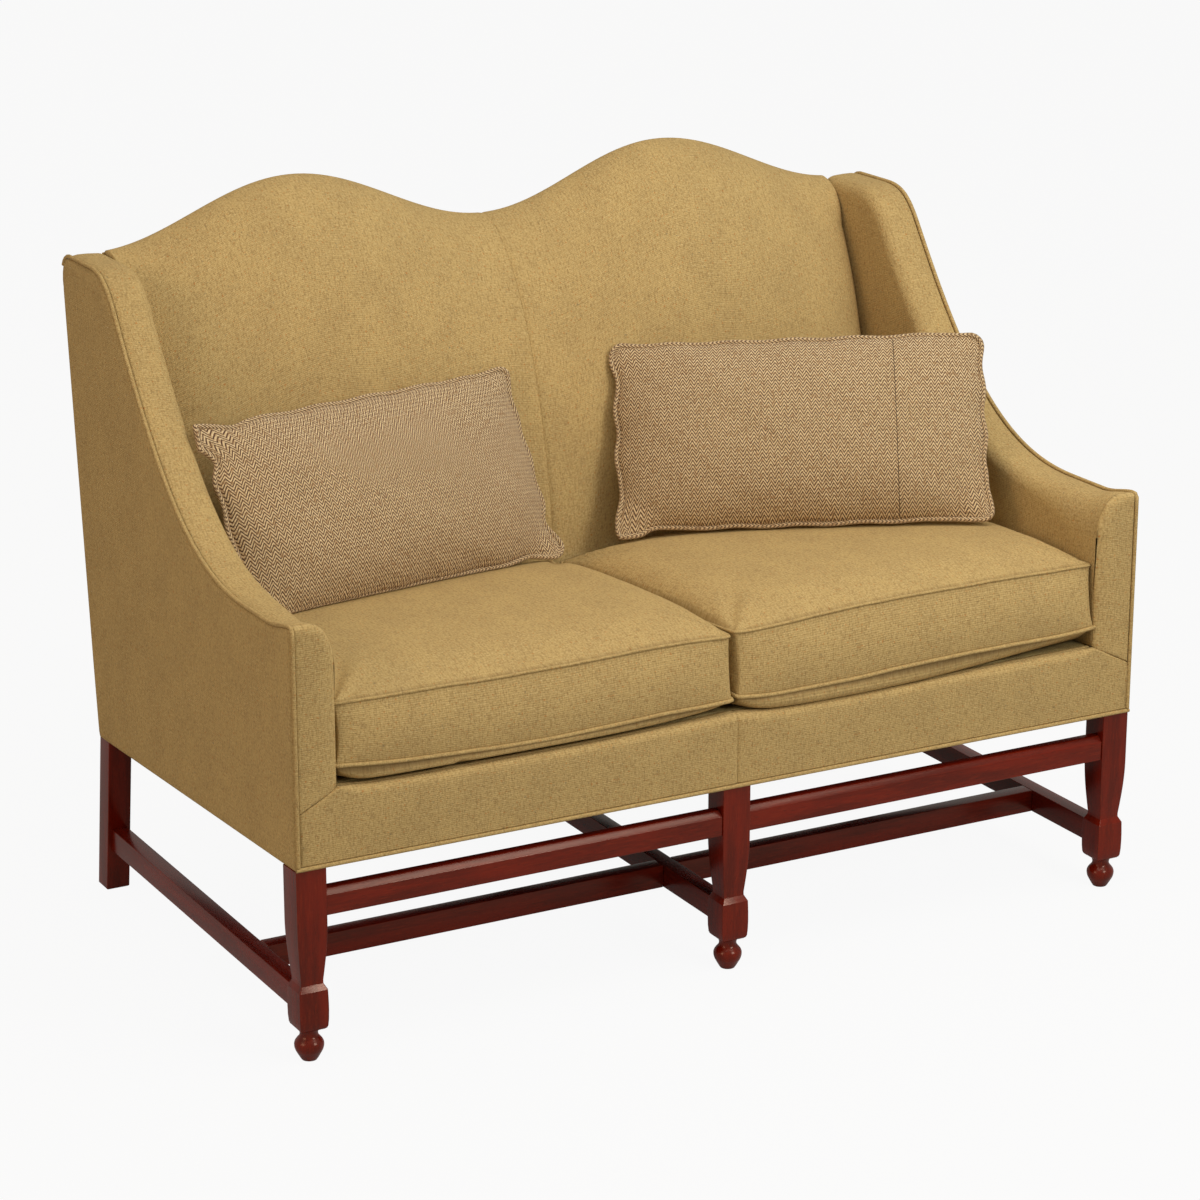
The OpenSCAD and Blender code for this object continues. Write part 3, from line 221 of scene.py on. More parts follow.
class Skin:
    """Collects the points and faces of one piece, in mm, with each corner's place in the cloth."""

    def __init__(self) -> None:
        """Starts with nothing."""
        self.points: list[Array] = []
        self.count = 0
        self.faces: list[tuple[int, ...]] = []
        self.places: list[tuple[float, float]] = []

    def add(self, points: Array) -> Array:
        """Adds points, and gives their numbers in the array's own shape."""
        shape = points.shape[:-1]
        self.points.append(points.reshape(-1, 3))
        first = self.count
        self.count += math.prod(shape)
        return np.arange(first, self.count).reshape(shape)

    def face(self, corners: list[int], places: list[tuple[float, float]]) -> None:
        """Adds one face with the cloth place of each corner."""
        self.faces.append(tuple(int(c) for c in corners))
        self.places.extend((float(a), float(b)) for a, b in places)

    def grid(self, ids: Array, places: Array, keep: Array | None = None,
             back: bool = False) -> None:
        """Adds the faces of a grid.

        Args:
            ids: point numbers, one per crossing.
            places: the cloth place of each crossing.
            keep: which cells there are, or all of them.
            back: whether the faces look the other way.
        """
        for i, j in np.ndindex(ids.shape[0] - 1, ids.shape[1] - 1):
            if keep is None or keep[i, j]:
                ring = [(i, j), (i + 1, j), (i + 1, j + 1), (i, j + 1)][::-1 if back else 1]
                self.face([ids[r] for r in ring], [places[r] for r in ring])

    def loft(self, rings: Array, places: Array | None = None, split: int = 0,
             beyond: Array | None = None) -> None:
        """Adds a closed skin through rings, with flat ends.

        Args:
            rings: points of each ring, all with the same count.
            places: cloth places, with one more column than a ring has points.
            split: the column from which beyond holds instead.
            beyond: cloth places past the split.
        """
        ids = self.add(rings)
        if places is None:
            places = np.zeros((ids.shape[0], ids.shape[1] + 1, 2))
        wrapped = np.concatenate([ids, ids[:, :1]], axis=1)
        if split:
            self.grid(wrapped[:, :split + 1], places[:, :split + 1])
            wrapped, places = wrapped[:, split:], beyond[:, split:]
        self.grid(wrapped, places)
        for ring, pts in ((ids[0], rings[0]), (ids[-1][::-1], rings[-1][::-1])):
            flat = pts - pts.mean(axis=0)
            self.face(ring, [(q[0] * MM, (q[1] + q[2]) * MM) for q in flat])

    def slab(self, outer: Array, inner: Array, places: Array, keep: Array | None = None) -> None:
        """Adds a sheet with a thickness, closed round its border and round its holes.

        Args:
            outer: points of the outer side, on a grid.
            inner: points of the inner side.
            places: cloth places of the crossings.
            keep: which cells there are, or all of them.
        """
        out, inn = self.add(outer), self.add(inner)
        if keep is None:
            keep = np.ones((out.shape[0] - 1, out.shape[1] - 1), bool)
        self.grid(out, places, keep)
        self.grid(inn, places, keep, back=True)
        there = np.pad(keep, 1)
        for i, j in np.argwhere(keep):
            for a, b, over in (((i, j), (i + 1, j), (i, j - 1)),
                               ((i + 1, j), (i + 1, j + 1), (i + 1, j)),
                               ((i + 1, j + 1), (i, j + 1), (i, j + 1)),
                               ((i, j + 1), (i, j), (i - 1, j))):
                if not there[over[0] + 1, over[1] + 1]:
                    self.face([out[b], out[a], inn[a], inn[b]],
                              [places[b], places[a], places[a], places[b]])

    def piece(self, name: str, material: Material, sharp: float | None = None,
              crease: Array | None = None) -> Object:
        """Makes the object, facing outwards.

        Args:
            name: the piece's name.
            material: its finish.
            sharp: the angle in degrees past which an edge is crisp, or None for a soft piece.
            crease: how much painted shade each point takes near a seam, from 0 to 1.

        Returns:
            The new object, at the origin.
        """
        points = np.concatenate(self.points)
        corners = [(f[0], f[k], f[k + 1]) for f in self.faces for k in range(1, len(f) - 1)]
        a, b, c = (points[[t[k] for t in corners]] for k in range(3))
        if np.sum(a * np.cross(b, c)) < 0:
            turned, start = [], 0
            for k, ring in enumerate(self.faces):
                turned.extend(reversed(self.places[start:start + len(ring)]))
                start += len(ring)
                self.faces[k] = tuple(reversed(ring))
            self.places = turned
        mesh = bpy.data.meshes.new(name)
        mesh.from_pydata((points * MM).tolist(), [], self.faces)
        layer = mesh.uv_layers.new(name="weave")
        layer.data.foreach_set("uv", np.array(self.places, np.float32).ravel())
        # The painted seam shade, stored for the wool's material to read.
        if crease is not None:
            layer = mesh.attributes.new("crease", "FLOAT", "POINT")
            layer.data.foreach_set("value", crease.astype(np.float32))
        return finished(name, mesh, material, sharp)


def finished(name: str, mesh: Mesh, material: Material, sharp: float | None = None) -> Object:
    """Shades a mesh, gives it its finish and links it as an object at the origin.

    Args:
        name: the piece's name.
        mesh: the mesh.
        material: its finish.
        sharp: the angle in degrees past which an edge is crisp.

    Returns:
        The object.
    """
    mesh.polygons.foreach_set("use_smooth", [True] * len(mesh.polygons))
    if sharp is not None:
        mesh.set_sharp_from_angle(angle=math.radians(sharp))
    mesh.materials.clear()
    mesh.materials.append(material)
    mesh.validate()
    return placed_in_scene(bpy.data.objects.new(name, mesh))


def placed_in_scene(obj: Object) -> Object:
    """Links an object to the scene."""
    bpy.context.scene.collection.objects.link(obj)
    return obj


def settle(obj: Object, body: str, slot: str, *nodes: str, fill: float | None = None) -> None:
    """Gives a finished piece its body, and hides the frame's nodes that it replaces.

    Args:
        obj: the piece.
        body: the body it rides on.
        slot: not used.
        nodes: the frame's nodes that it replaces.
        fill: not used.
    """
    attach(obj, body)
    if nodes:
        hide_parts(*nodes)
    log.info("%s rides on %s, %d faces", obj.name, body, len(obj.data.polygons))


# ---------------------------------------------------------------- finishes


class Grain(Enum):
    """Which way a board's grain runs."""

    ACROSS = 0
    DEEP = 1
    UP = 2


class Reads(Enum):
    """What a cloth's pattern follows."""

    WEAVE = "the piece's own cloth places"
    PLACE = "the piece's place"


class Paint:
    """One material while it is being made."""

    def __init__(self, name: str, constants: dict, reads: Reads = Reads.PLACE) -> None:
        """Starts it.

        Args:
            name: the material's name.
            constants: the shader's inputs that are the same all over.
            reads: what its patterns follow.
        """
        self.material = bpy.data.materials.new(name)
        self.material.use_nodes = True
        self.tree = self.material.node_tree
        self.shader = self.tree.nodes["Principled BSDF"]
        self.reads = reads
        for key, value in constants.items():
            self.shader.inputs[key].default_value = value

    def node(self, kind: str, inputs: dict | None = None, out: int | str = 0,
             **settings) -> Socket:
        """Adds a shader node and gives one of its outputs."""
        return put(self.tree, "ShaderNode" + kind, inputs, out, **settings)

    def sum(self, way: str, *terms: Socket | float) -> Socket:
        """One sum on sockets or numbers."""
        return arithmetic(self.tree, way, *terms)

    def space(self, *scale: float) -> Socket:
        """The coordinates that a pattern reads, with its repeats per metre along each axis."""
        if self.reads is Reads.WEAVE:
            source = self.node("UVMap", uv_map="weave")
        else:
            source = self.node("TexCoord", out="Object")
        return self.node("Mapping", {"Vector": source, "Scale": scale})

    def noise(self, scale: tuple[float, float, float] | float, detail: float = 2.0,
              roughness: float = 0.5) -> Socket:
        """Soft noise with so many grains per metre, along each axis or along all."""
        scale = scale if isinstance(scale, tuple) else (scale,) * 3
        return self.node("TexNoise", {"Vector": self.space(*scale), "Scale": 1.0,
                                      "Detail": detail, "Roughness": roughness})

    def band(self, value: Socket, low: float, high: float, most: float = 1.0) -> Socket:
        """Turns a value between low and high smoothly into 0 to most."""
        return self.node("MapRange", {"Value": value, "From Min": low, "From Max": high,
                                      "To Max": most}, interpolation_type="SMOOTHSTEP")

    def blend(self, factor: Socket, a: str | Socket, b: str | Socket) -> Socket:
        """Mixes two colours, each a hex text or a socket."""
        a, b = (linear(c) if isinstance(c, str) else c for c in (a, b))
        return self.node("Mix", {0: factor, 6: a, 7: b}, out=2, data_type="RGBA")

    def tint(self, colour: str | Socket,
             *layers: tuple[Socket, float, float, float, str]) -> Socket:
        """Lays colours over a first one.

        Args:
            colour: the first.
            layers: for each, the value it follows, its band's low, high and most, and its colour.

        Returns:
            The colour over all.
        """
        for value, low, high, most, over in layers:
            colour = self.blend(self.band(value, low, high, most), colour, over)
        return colour

    def done(self, colour: Socket, height: Socket, depth_mm: float, strength: float = 1.0,
             rough: Socket | None = None) -> Material:
        """Ends the material.

        Args:
            colour: its colour.
            height: how far the surface is raised, from 0 to 1.
            depth_mm: what that is in mm.
            strength: the share of it that shows.
            rough: its roughness, where it varies.

        Returns:
            The material.
        """
        normal = self.node("Bump", {"Height": height, "Strength": strength,
                                    "Distance": depth_mm * MM})
        ends = {"Base Color": colour, "Normal": normal} | ({"Roughness": rough} if rough else {})
        for key, value in ends.items():
            self.tree.links.new(value, self.shader.inputs[key])
        return self.material


@dataclass(frozen=True)
class WoolFlannel:
    """Milled wool upholstery flannel, woven from heathered yarns and brushed.

    To the eye: matt and a little woolly at grazing angles, golden tan with soft grey-brown clouds
    where the fleece was blended, fine upright streaks from the warp, and a few bright and dark
    flecks. Along the cushions' seams it carries painted shade, darkest under the welts.
    """

    ground: str = "#c2a469"
    cloud: str = "#ab8f5c"
    yarn_dark: str = "#8a6c40"
    yarn_light: str = "#d8bd83"
    # Colour of the painted shade along the cushions' seams.
    seam: str = "#6a5230"
    fleck_warm: str = "#b8702f"
    fleck_dull: str = "#6b6a58"
    thread_mm: float = 1.4
    cloud_mm: float = 60.0

    def build(self) -> Material:
        """Makes the material."""
        p = Paint("wool_flannel", {
            "Roughness": 0.92, "IOR": 1.46, "Specular IOR Level": 0.25, "Sheen Weight": 0.12,
            "Sheen Roughness": 0.45, "Sheen Tint": linear("#d9bd84")}, Reads.WEAVE)
        per_cloud, per_thread = 1000 / self.cloud_mm, 1000 / self.thread_mm
        clouds = p.noise((per_cloud, per_cloud * 0.6, per_cloud), 3.0, 0.6)
        # Yarns are drawn twice as thick as they are, so that the streaks show at this distance
        warp = p.noise((380.0, 60.0, 380.0), 2.0, 0.55)
        weft = p.noise((70.0, 400.0, 70.0), 2.0, 0.55)
        fibre = p.noise((330.0, 300.0, 330.0), 2.0, 0.6)
        fleck = p.noise((250.0, 230.0, 250.0), 1.0, 0.5)
        colour = p.tint(self.ground, (clouds, 0.32, 0.70, 0.42, self.cloud),
                        (warp, 0.46, 0.70, 0.42, self.yarn_dark),
                        (weft, 0.50, 0.74, 0.32, self.yarn_light),
                        (fibre, 0.52, 0.66, 0.45, self.yarn_dark),
                        (fibre, 0.46, 0.34, 0.42, self.yarn_light),
                        (fleck, 0.66, 0.72, 0.55, self.fleck_warm),
                        (fleck, 0.30, 0.25, 0.5, self.fleck_dull))
        # Painted shade: a per-point attribute darkens the cloth towards the seam colour along the
        # cushions' seams, standing in for the shadow under the welts.
        crease = p.node("Attribute", out="Fac", attribute_name="crease")
        colour = p.blend(p.sum("MULTIPLY", crease, 0.9), colour, self.seam)
        across, along = (p.node("TexWave", {"Vector": p.space(*scale), "Scale": 0.31}, out="Fac",
                                bands_direction=way)
                         for scale, way in (((per_thread, 0.0, 0.0), "X"),
                                            ((0.0, per_thread, per_thread), "DIAGONAL")))
        height = p.sum("MULTIPLY_ADD", fibre, 0.7, p.sum("MULTIPLY", across, along))
        return p.done(colour, height, 0.45)


@dataclass(frozen=True)
class HerringboneTweed:
    """Woollen herringbone tweed, cream and brown yarns, with slubs of orange and dark wool.

    To the eye: upright columns of slanting lines that turn back at each column, dry and matt.
    """

    column_mm: float = 6.0
    line_mm: float = 6.3
    cream: str = "#ead1a4"
    tan: str = "#bd9c6c"
    brown: str = "#543a2b"
    slub: str = "#96734c"
    dark: str = "#46352e"
    orange: str = "#c07a3c"

    def build(self) -> Material:
        """Makes the material."""
        p = Paint("herringbone_tweed", {
            "Roughness": 0.95, "IOR": 1.46, "Specular IOR Level": 0.2, "Sheen Weight": 0.1,
            "Sheen Roughness": 0.5}, Reads.WEAVE)
        place = p.node("UVMap", uv_map="weave")
        shifted = p.node("TexNoise", {"Vector": place, "Scale": 38.0, "Detail": 1.0}, out="Color")
        shifted = p.node("VectorMath", {0: shifted, 1: (0.5, 0.5, 0.5)}, operation="SUBTRACT")
        shifted = p.node("VectorMath", {0: shifted, 1: (0.0020, 0.0036, 0.0), 2: place},
                         operation="MULTIPLY_ADD")
        parts = add_node(p.tree, "ShaderNodeSeparateXYZ", {0: shifted}).outputs
        # The columns are finer in the photo and their lines shallower; drawn so they blur to brown
        u = p.sum("DIVIDE", parts["X"], self.column_mm * MM)
        v = p.sum("DIVIDE", parts["Y"], self.line_mm * MM)
        slant = p.sum("MULTIPLY_ADD", p.sum("PINGPONG", u, 1.0),
                      1.6 * self.column_mm / self.line_mm, v)
        line = p.sum("PINGPONG", slant, 0.5)
        slub = p.noise((210.0, 120.0, 1.0), 2.0, 0.6)
        yarn = p.noise((620.0, 540.0, 1.0), 2.0, 0.6)
        thread = p.band(p.sum("MULTIPLY_ADD", yarn, 0.5, line), 0.40, 0.52)
        mixed = p.tint(self.cream, (yarn, 0.36, 0.66, 1.0, self.tan))
        colour = p.tint(p.blend(thread, self.brown, mixed), (slub, 0.52, 0.66, 0.65, self.slub),
                        (yarn, 0.60, 0.67, 0.85, self.dark), (yarn, 0.34, 0.28, 0.8, self.orange))
        return p.done(colour, p.sum("MULTIPLY_ADD", yarn, 0.6, line), 0.9)


@dataclass(frozen=True)
class SatinMahogany:
    """Mahogany, planed and sanded, stained dark red and rubbed to a satin lacquer.

    To the eye: deep red-brown with long soft figure and short dark pores along the grain, a clear
    soft gloss on every facet, and paler edges where the finish has rubbed thin.
    """

    grain: Grain
    deep: str = "#580e04"
    red: str = "#701505"
    warm: str = "#82240b"
    pore: str = "#2f0a04"
    worn: str = "#9a4a2c"

    def build(self) -> Material:
        """Makes the material."""
        p = Paint(f"satin_mahogany_{self.grain.name.lower()}", {
            "IOR": 1.5, "Specular IOR Level": 0.42, "Specular Tint": linear("#ffe0c8")})
        stretch = [0.09 if k == self.grain.value else 1.0 for k in range(3)]
        # Pores are 0.2 mm wide in the wood and three times that here, so that they show
        figure, fine, pores = (p.noise(tuple(scale * a for a in stretch), detail, rough)
                               for scale, detail, rough in ((55.0, 4.0, 0.55), (420.0, 2.0, 0.6),
                                                            (900.0, 1.0, 0.5)))
        colour = p.tint(self.red, (figure, 0.36, 0.64, 1.0, self.deep),
                        (fine, 0.48, 0.74, 0.4, self.warm), (pores, 0.62, 0.72, 0.45, self.pore))
        soft = p.node("Bevel", {"Radius": 0.0016}, samples=4)
        plain = p.node("NewGeometry", out="Normal")
        turn = p.node("VectorMath", {0: soft, 1: plain}, out="Value", operation="DOT_PRODUCT")
        rubbed = p.band(p.noise(38.0, 3.0, 0.6), 0.46, 0.66, 0.5)
        edge = p.sum("MULTIPLY", p.band(turn, 0.985, 0.90), rubbed)
        rough = p.sum("MULTIPLY_ADD", p.noise(14.0, 3.0, 0.6), 0.14, 0.17)
        return p.done(p.blend(edge, colour, self.worn), pores, -0.05, 0.5, rough)


@dataclass(frozen=True)
class SawnBeech:
    """Kiln-dried beech, band-sawn and planed, left raw inside the covers.

    To the eye: pale pinkish tan, matt, with small dark ray flecks and faint saw lines.
    """

    pale: str = "#cfae7e"
    tan: str = "#b98f5f"
    ray: str = "#8c6440"

    def build(self) -> Material:
        """Makes the material."""
        p = Paint("sawn_beech", {"Roughness": 0.72, "IOR": 1.5})
        figure = p.noise((12.0, 60.0, 60.0), 4.0, 0.6)
        flecks = p.noise((130.0, 700.0, 700.0), 1.0, 0.5)
        colour = p.tint(self.pale, (figure, 0.35, 0.68, 1.0, self.tan),
                        (flecks, 0.62, 0.70, 0.7, self.ray))
        saw = p.node("TexWave", {"Vector": p.space(500.0, 0.0, 0.0), "Scale": 0.31,
                                 "Distortion": 2.0, "Detail": 2.0}, out="Fac")
        return p.done(colour, saw, 0.15, 0.5)


@dataclass(frozen=True)
class SteelFinish:
    """Steel wire or hardware, drawn or zinc-plated.

    To the eye: a grey metal, duller and darker for oil-tempered spring wire, bluish for plating,
    with fine drawing lines and small stains.
    """

    name: str
    bright: str
    stain: str
    roughness: float

    def build(self) -> Material:
        """Makes the material."""
        p = Paint(self.name, {"Metallic": 1.0})
        spots, lines = p.noise(90.0, 3.0, 0.6), p.noise((900.0, 40.0, 900.0), 1.0, 0.5)
        colour = p.tint(self.bright, (spots, 0.5, 0.75, 0.8, self.stain))
        rough = p.sum("MULTIPLY_ADD", spots, 0.25, self.roughness)
        return p.done(colour, lines, 0.05, 0.5, rough)


@dataclass(frozen=True)
class PlainWeave:
    """Jute hessian, cotton webbing or zip tape: a plain over-and-under weave of one yarn.

    To the eye: small squares of raised yarn with dark gaps between them, dry and matt.
    """

    name: str
    yarn: str
    shade: str
    gap: str
    thread_mm: float
    reads: Reads = Reads.PLACE

    def build(self) -> Material:
        """Makes the material."""
        p = Paint(self.name, {"Roughness": 0.9, "IOR": 1.46, "Specular IOR Level": 0.25},
                  self.reads)
        parts = add_node(p.tree, "ShaderNodeSeparateXYZ", {0: p.space(1.0, 1.0, 1.0)}).outputs
        half = self.thread_mm * MM
        u, v = (p.sum("PINGPONG", run, half)
                for run in (parts["X"], p.sum("ADD", parts["Y"], parts["Z"])))
        raised = p.band(p.sum("MINIMUM", u, v), 0.0, half * 0.55)
        fleece = p.noise(260.0, 3.0, 0.6)
        colour = p.tint(self.yarn, (fleece, 0.38, 0.66, 1.0, self.shade))
        return p.done(p.blend(raised, self.gap, colour), raised, 0.3)


@dataclass(frozen=True)
class FibreMat:
    """A mat of bonded fibres: needled deck felt, spun-bonded dust cloth or polyurethane foam.

    To the eye: no weave, only crossing hairs or open cells and cloudy thick and thin places.
    """

    name: str
    base: str
    shade: str
    hair: str
    grain_mm: float
    roughness: float = 0.95

    def build(self) -> Material:
        """Makes the material."""
        p = Paint(self.name, {"Roughness": self.roughness, "IOR": 1.46,
                              "Specular IOR Level": 0.2})
        fine = 1000 / self.grain_mm
        clouds = p.noise(32.0, 4.0, 0.65)
        hairs = p.node("TexVoronoi", {"Vector": p.space(fine, fine * 0.6, fine), "Scale": 1.0},
                       out="Distance", feature="DISTANCE_TO_EDGE")
        colour = p.tint(self.base, (clouds, 0.36, 0.66, 1.0, self.shade),
                        (hairs, 0.12, 0.02, 0.6, self.hair))
        return p.done(colour, hairs, 0.25, 0.7)


@dataclass(frozen=True)
class TumbledBrass:
    """Cast brass zip parts, tumbled smooth.

    To the eye: warm yellow metal, darkened to brown in patches by handling.
    """

    bright: str = "#c79a4e"
    dark: str = "#7d5a2b"

    def build(self) -> Material:
        """Makes the material."""
        p = Paint("tumbled_brass", {"Metallic": 1.0})
        tarnish = p.noise(160.0, 3.0, 0.6)
        colour = p.tint(self.bright, (tarnish, 0.45, 0.7, 1.0, self.dark))
        return p.done(colour, tarnish, 0.06, 0.5, p.sum("MULTIPLY_ADD", tarnish, 0.3, 0.18))


class Finishes:
    """Every finish on the loveseat, made once."""

    def __init__(self) -> None:
        """Builds the materials."""
        self.wool = WoolFlannel().build()
        self.tweed = HerringboneTweed().build()
        self.mahogany = {grain: SatinMahogany(grain).build() for grain in Grain}
        self.beech = SawnBeech().build()
        self.spring_wire = SteelFinish("oil_tempered_wire", "#5d5a57", "#3a3330", 0.32).build()
        self.zinc = SteelFinish("zinc_plated_steel", "#b9bcc0", "#8f8a7c", 0.24).build()
        self.hessian = PlainWeave("jute_hessian", "#b99d69", "#96794a", "#4b3a20", 2.4).build()
        self.webbing = PlainWeave("jute_webbing", "#b39763", "#917544", "#3f311c", 1.8).build()
        self.tape = PlainWeave("cotton_zip_tape", "#7d6d40", "#665833", "#3a311c", 1.0,
                               Reads.WEAVE).build()
        self.felt = FibreMat("needled_deck_felt", "#94814f", "#776640", "#b3a171", 2.2).build()
        self.dust_cloth = FibreMat("spunbonded_dust_cloth", "#1b1a1a", "#121111", "#343231", 2.6,
                                   0.8).build()
        self.foam = FibreMat("polyurethane_foam", "#e6dcc0", "#d6c69c", "#c2ad7d", 1.6,
                             0.85).build()
        self.brass = TumbledBrass().build()
        self.thread = PlainWeave("button_thread", "#6b5138", "#57412c", "#3a2a1c", 0.6).build()


# ---------------------------------------------------------------- the loveseat's own surfaces


def tilted(p: Array, angle: float, y: float, z: float) -> Array:
    """Points of a plane that slopes down to the rear from y and z, in place."""
    c, s = math.cos(angle), math.sin(angle)
    return xyz(p[..., 0], y + p[..., 1] * c + p[..., 2] * s, z - p[..., 1] * s + p[..., 2] * c)


@dataclass(frozen=True)
class Carcass:
    """The main sizes in mm, and the surfaces that follow from them, as the frame has them."""

    width: float = 1372.0
    base_d: float = 734.0
    front_h: float = 284.0
    rear_h: float = 250.0
    rake: float = math.radians(5.7)
    dip_h: float = 977.0
    hump_rise: float = 87.0
    shoulder_h: float = 978.0
    hump_x: float = 318.0
    shoulder_in: float = 46.0
    back_t: float = 200.0
    back_roll_h: float = 450.0
    back_fall: float = 76.0
    back_fall_w: float = 110.0
    crest: float = 22.0
    crest_drop: float = 6.0
    arm_w: float = 66.0
    arm_h: float = 615.0
    arm_front_h: float = 627.0
    lip_l: float = 80.0
    scoop_start: float = 160.0
    scoop_top_h: float = 922.0
    scoop_a: float = math.radians(54.8)
    wing_h: float = 979.0
    wing_d: float = 202.0
    wing_flat: float = 117.0
    wing_corner_r: float = 30.0
    edge_r: float = 20.0
    front_pad: float = 12.0
    deck_z: float = 111.0
    mitre: float = 34.0
    skin: float = 4.3
    pad_rear: float = 38.4
    welt_r: float = 3.0
    gap: float = 0.3

    @property
    def pitch(self) -> float:
        """Slope of the seat's bottom edge."""
        return math.atan((self.front_h - self.rear_h) / self.base_d)

    @property
    def seat_len(self) -> float:
        """Length of the seat frame along its slope."""
        return self.base_d / math.cos(self.pitch)

    @property
    def y_front(self) -> float:
        """Where the front cover stands."""
        reach = self.dip_h + self.hump_rise - self.crest_drop - self.rear_h
        return self.welt_r - (self.welt_r + self.base_d + reach * math.tan(self.rake)) / 2

    @property
    def y_rear(self) -> float:
        """Where the rear cover stands at its bottom edge."""
        return self.y_front + self.base_d

    @property
    def half_w(self) -> float:
        """Half of the width over the covers."""
        return self.width / 2

    @property
    def arm_x(self) -> float:
        """Distance of the arms' inner faces from the middle."""
        return self.half_w - self.arm_w

    @property
    def trim_x(self) -> float:
        """Where the inner covers end beside the welt."""
        return self.half_w - 2 * self.welt_r - self.gap

    def rear_y(self, z: Value) -> Value:
        """The rear cover's plane."""
        return self.y_rear + (z - self.rear_h) * math.tan(self.rake)

    def deck_h(self, y: Value) -> Value:
        """Height of the deck's top."""
        top = self.front_h + self.deck_z / math.cos(self.pitch)
        return top - (y - self.y_front) * math.tan(self.pitch)

    def back_h(self, x: Value) -> Value:
        """Height of the double hump."""
        far, top = np.abs(x), self.dip_h + self.hump_rise
        near = self.dip_h + self.hump_rise * ease(np.minimum(1, far / self.hump_x))
        shoulder_x = self.half_w - self.shoulder_in
        fall = ease(np.clip((far - self.hump_x) / (shoulder_x - self.hump_x), 0, 1))
        outer = self.shoulder_h + (top - self.shoulder_h) * (1 - fall)
        return np.where(far <= self.hump_x, near, outer)

    def back_depth(self, x: Value, drop: Value) -> Array:
        """Thickness of the back at a depth below its top."""
        share = np.clip(drop / self.back_roll_h, 0, 1)
        crown = (1 - (1 - share) ** 1.8) ** 0.45
        u = np.clip((np.abs(x) - self.arm_x + 2 + self.back_fall_w) / self.back_fall_w, 0, 1)
        fall = 1 - np.sqrt(1 - u * u)
        return (np.hypot(self.crest, self.back_t * crown)
                - self.back_fall * crown * np.minimum(1, drop / 70) * fall)

    def inside_y(self, x: Value, z: Value) -> Array:
        """The inside face of the back."""
        return self.rear_y(z) - self.back_depth(x, np.maximum(0, self.back_h(x) - z))

    def from_seat(self, p: Array) -> Array:
        """Points of the sloping seat frame, in place."""
        return tilted(p, self.pitch, self.y_front, self.front_h)

    def to_seat(self, p: Array) -> Array:
        """Points in the sloping seat frame."""
        return tilted(p - [0, self.y_front, self.front_h], -self.pitch, 0.0, 0.0)

    def from_back(self, p: Array) -> Array:
        """Points of the leaning back frame, in place."""
        return tilted(p, self.rake, self.y_rear, self.rear_h)

    def behind(self, depth: float, z: float) -> tuple[float, float]:
        """The point at a depth square to the rear plane."""
        return self.rear_y(z) - depth * math.cos(self.rake), z + depth * math.sin(self.rake)

    def cushion_depth(self) -> float:
        """Depth of a seat cushion, up to the foot of the back."""
        foot = float(self.deck_h(self.y_rear - self.back_t))
        face = np.array([0.0, float(self.inside_y(0.0, foot)), foot])
        return float(self.to_seat(face)[1]) - 2.0

    def side_line(self, y0: float, with_lip: bool) -> tuple[Array, int]:
        """Top outline of an arm and wing as [y, z], from the front to the rear corner.

        Args:
            y0: where it starts.
            with_lip: whether it rises to the arm's front edge.

        Returns:
            The points, and the number of the last one in front of the back.
        """
        y = y0 + (self.y_front + self.lip_l - y0) * np.linspace(0, 1, 15)
        rise = 1 - ease(np.clip((y - self.y_front) / self.lip_l, 0, 1))
        lip = xyz(y, self.arm_h + (self.arm_front_h - self.arm_h) * rise * with_lip)
        a = np.array([self.y_front + self.scoop_start, self.arm_h])
        b = np.array([self.rear_y(self.scoop_top_h) - self.wing_d, self.scoop_top_h])
        way = np.array([math.cos(self.scoop_a), math.sin(self.scoop_a)])
        span = np.linalg.norm(b - a)
        scoop_ends = np.array([a, a + [0.32 * span, 0], b - 0.51 * span * way, b])
        scoop = bezier(scoop_ends, np.linspace(0, 1, 58))
        flat_y = self.rear_y(self.wing_h) - self.wing_flat
        turn = (flat_y - b[0]) * 0.5
        ends = np.array([b, b + turn * way, [flat_y - turn, self.wing_h], [flat_y, self.wing_h]])
        round_top = bezier(ends, np.linspace(0, 1, 17)[1:])
        switch = self.rear_y(self.wing_h) - (self.pad_rear + 1) / math.cos(self.rake)
        r = self.wing_corner_r
        up = (self.wing_h - r - self.rear_h) * math.sin(self.rake)
        centre = np.array([self.y_rear + (up - r) / math.cos(self.rake), self.wing_h - r])
        turns = np.linspace(math.pi / 2, math.acos(1 - self.skin / r) - self.rake, 10)
        corner = centre + r * xyz(np.cos(turns), np.sin(turns))
        flat = np.array([[switch, self.wing_h], [switch + 0.6, self.wing_h]])
        between = np.linspace(0, 1, 5)[1:-1, None]
        lead = round_top[-1] + (flat[0] - round_top[-1]) * between
        tail = flat[1] + (corner[0] - flat[1]) * between
        path = np.concatenate([lip, scoop, round_top, lead, flat, tail, corner])
        return path, len(lip) + len(scoop) + len(round_top) + len(lead)

    def welt_line(self) -> Array:
        """Line of the welt up the arm's front edge and over the arm and wing, as [y, z]."""
        top, _ = self.side_line(self.y_front, True)
        drops = np.array([self.front_h - self.arm_front_h + 7, -300, -240, -180, -120, -60, -24,
                          -12, -6])
        nose = np.array([[0.8, -3.2], [3.4, -1.0]]) + [self.y_front, self.arm_front_h]
        return np.concatenate([xyz(self.y_front, self.arm_front_h + drops), nose,
                               top[top[:, 0] > self.y_front + 7]])


CARCASS = Carcass()


# ---------------------------------------------------------------- geometry node trees


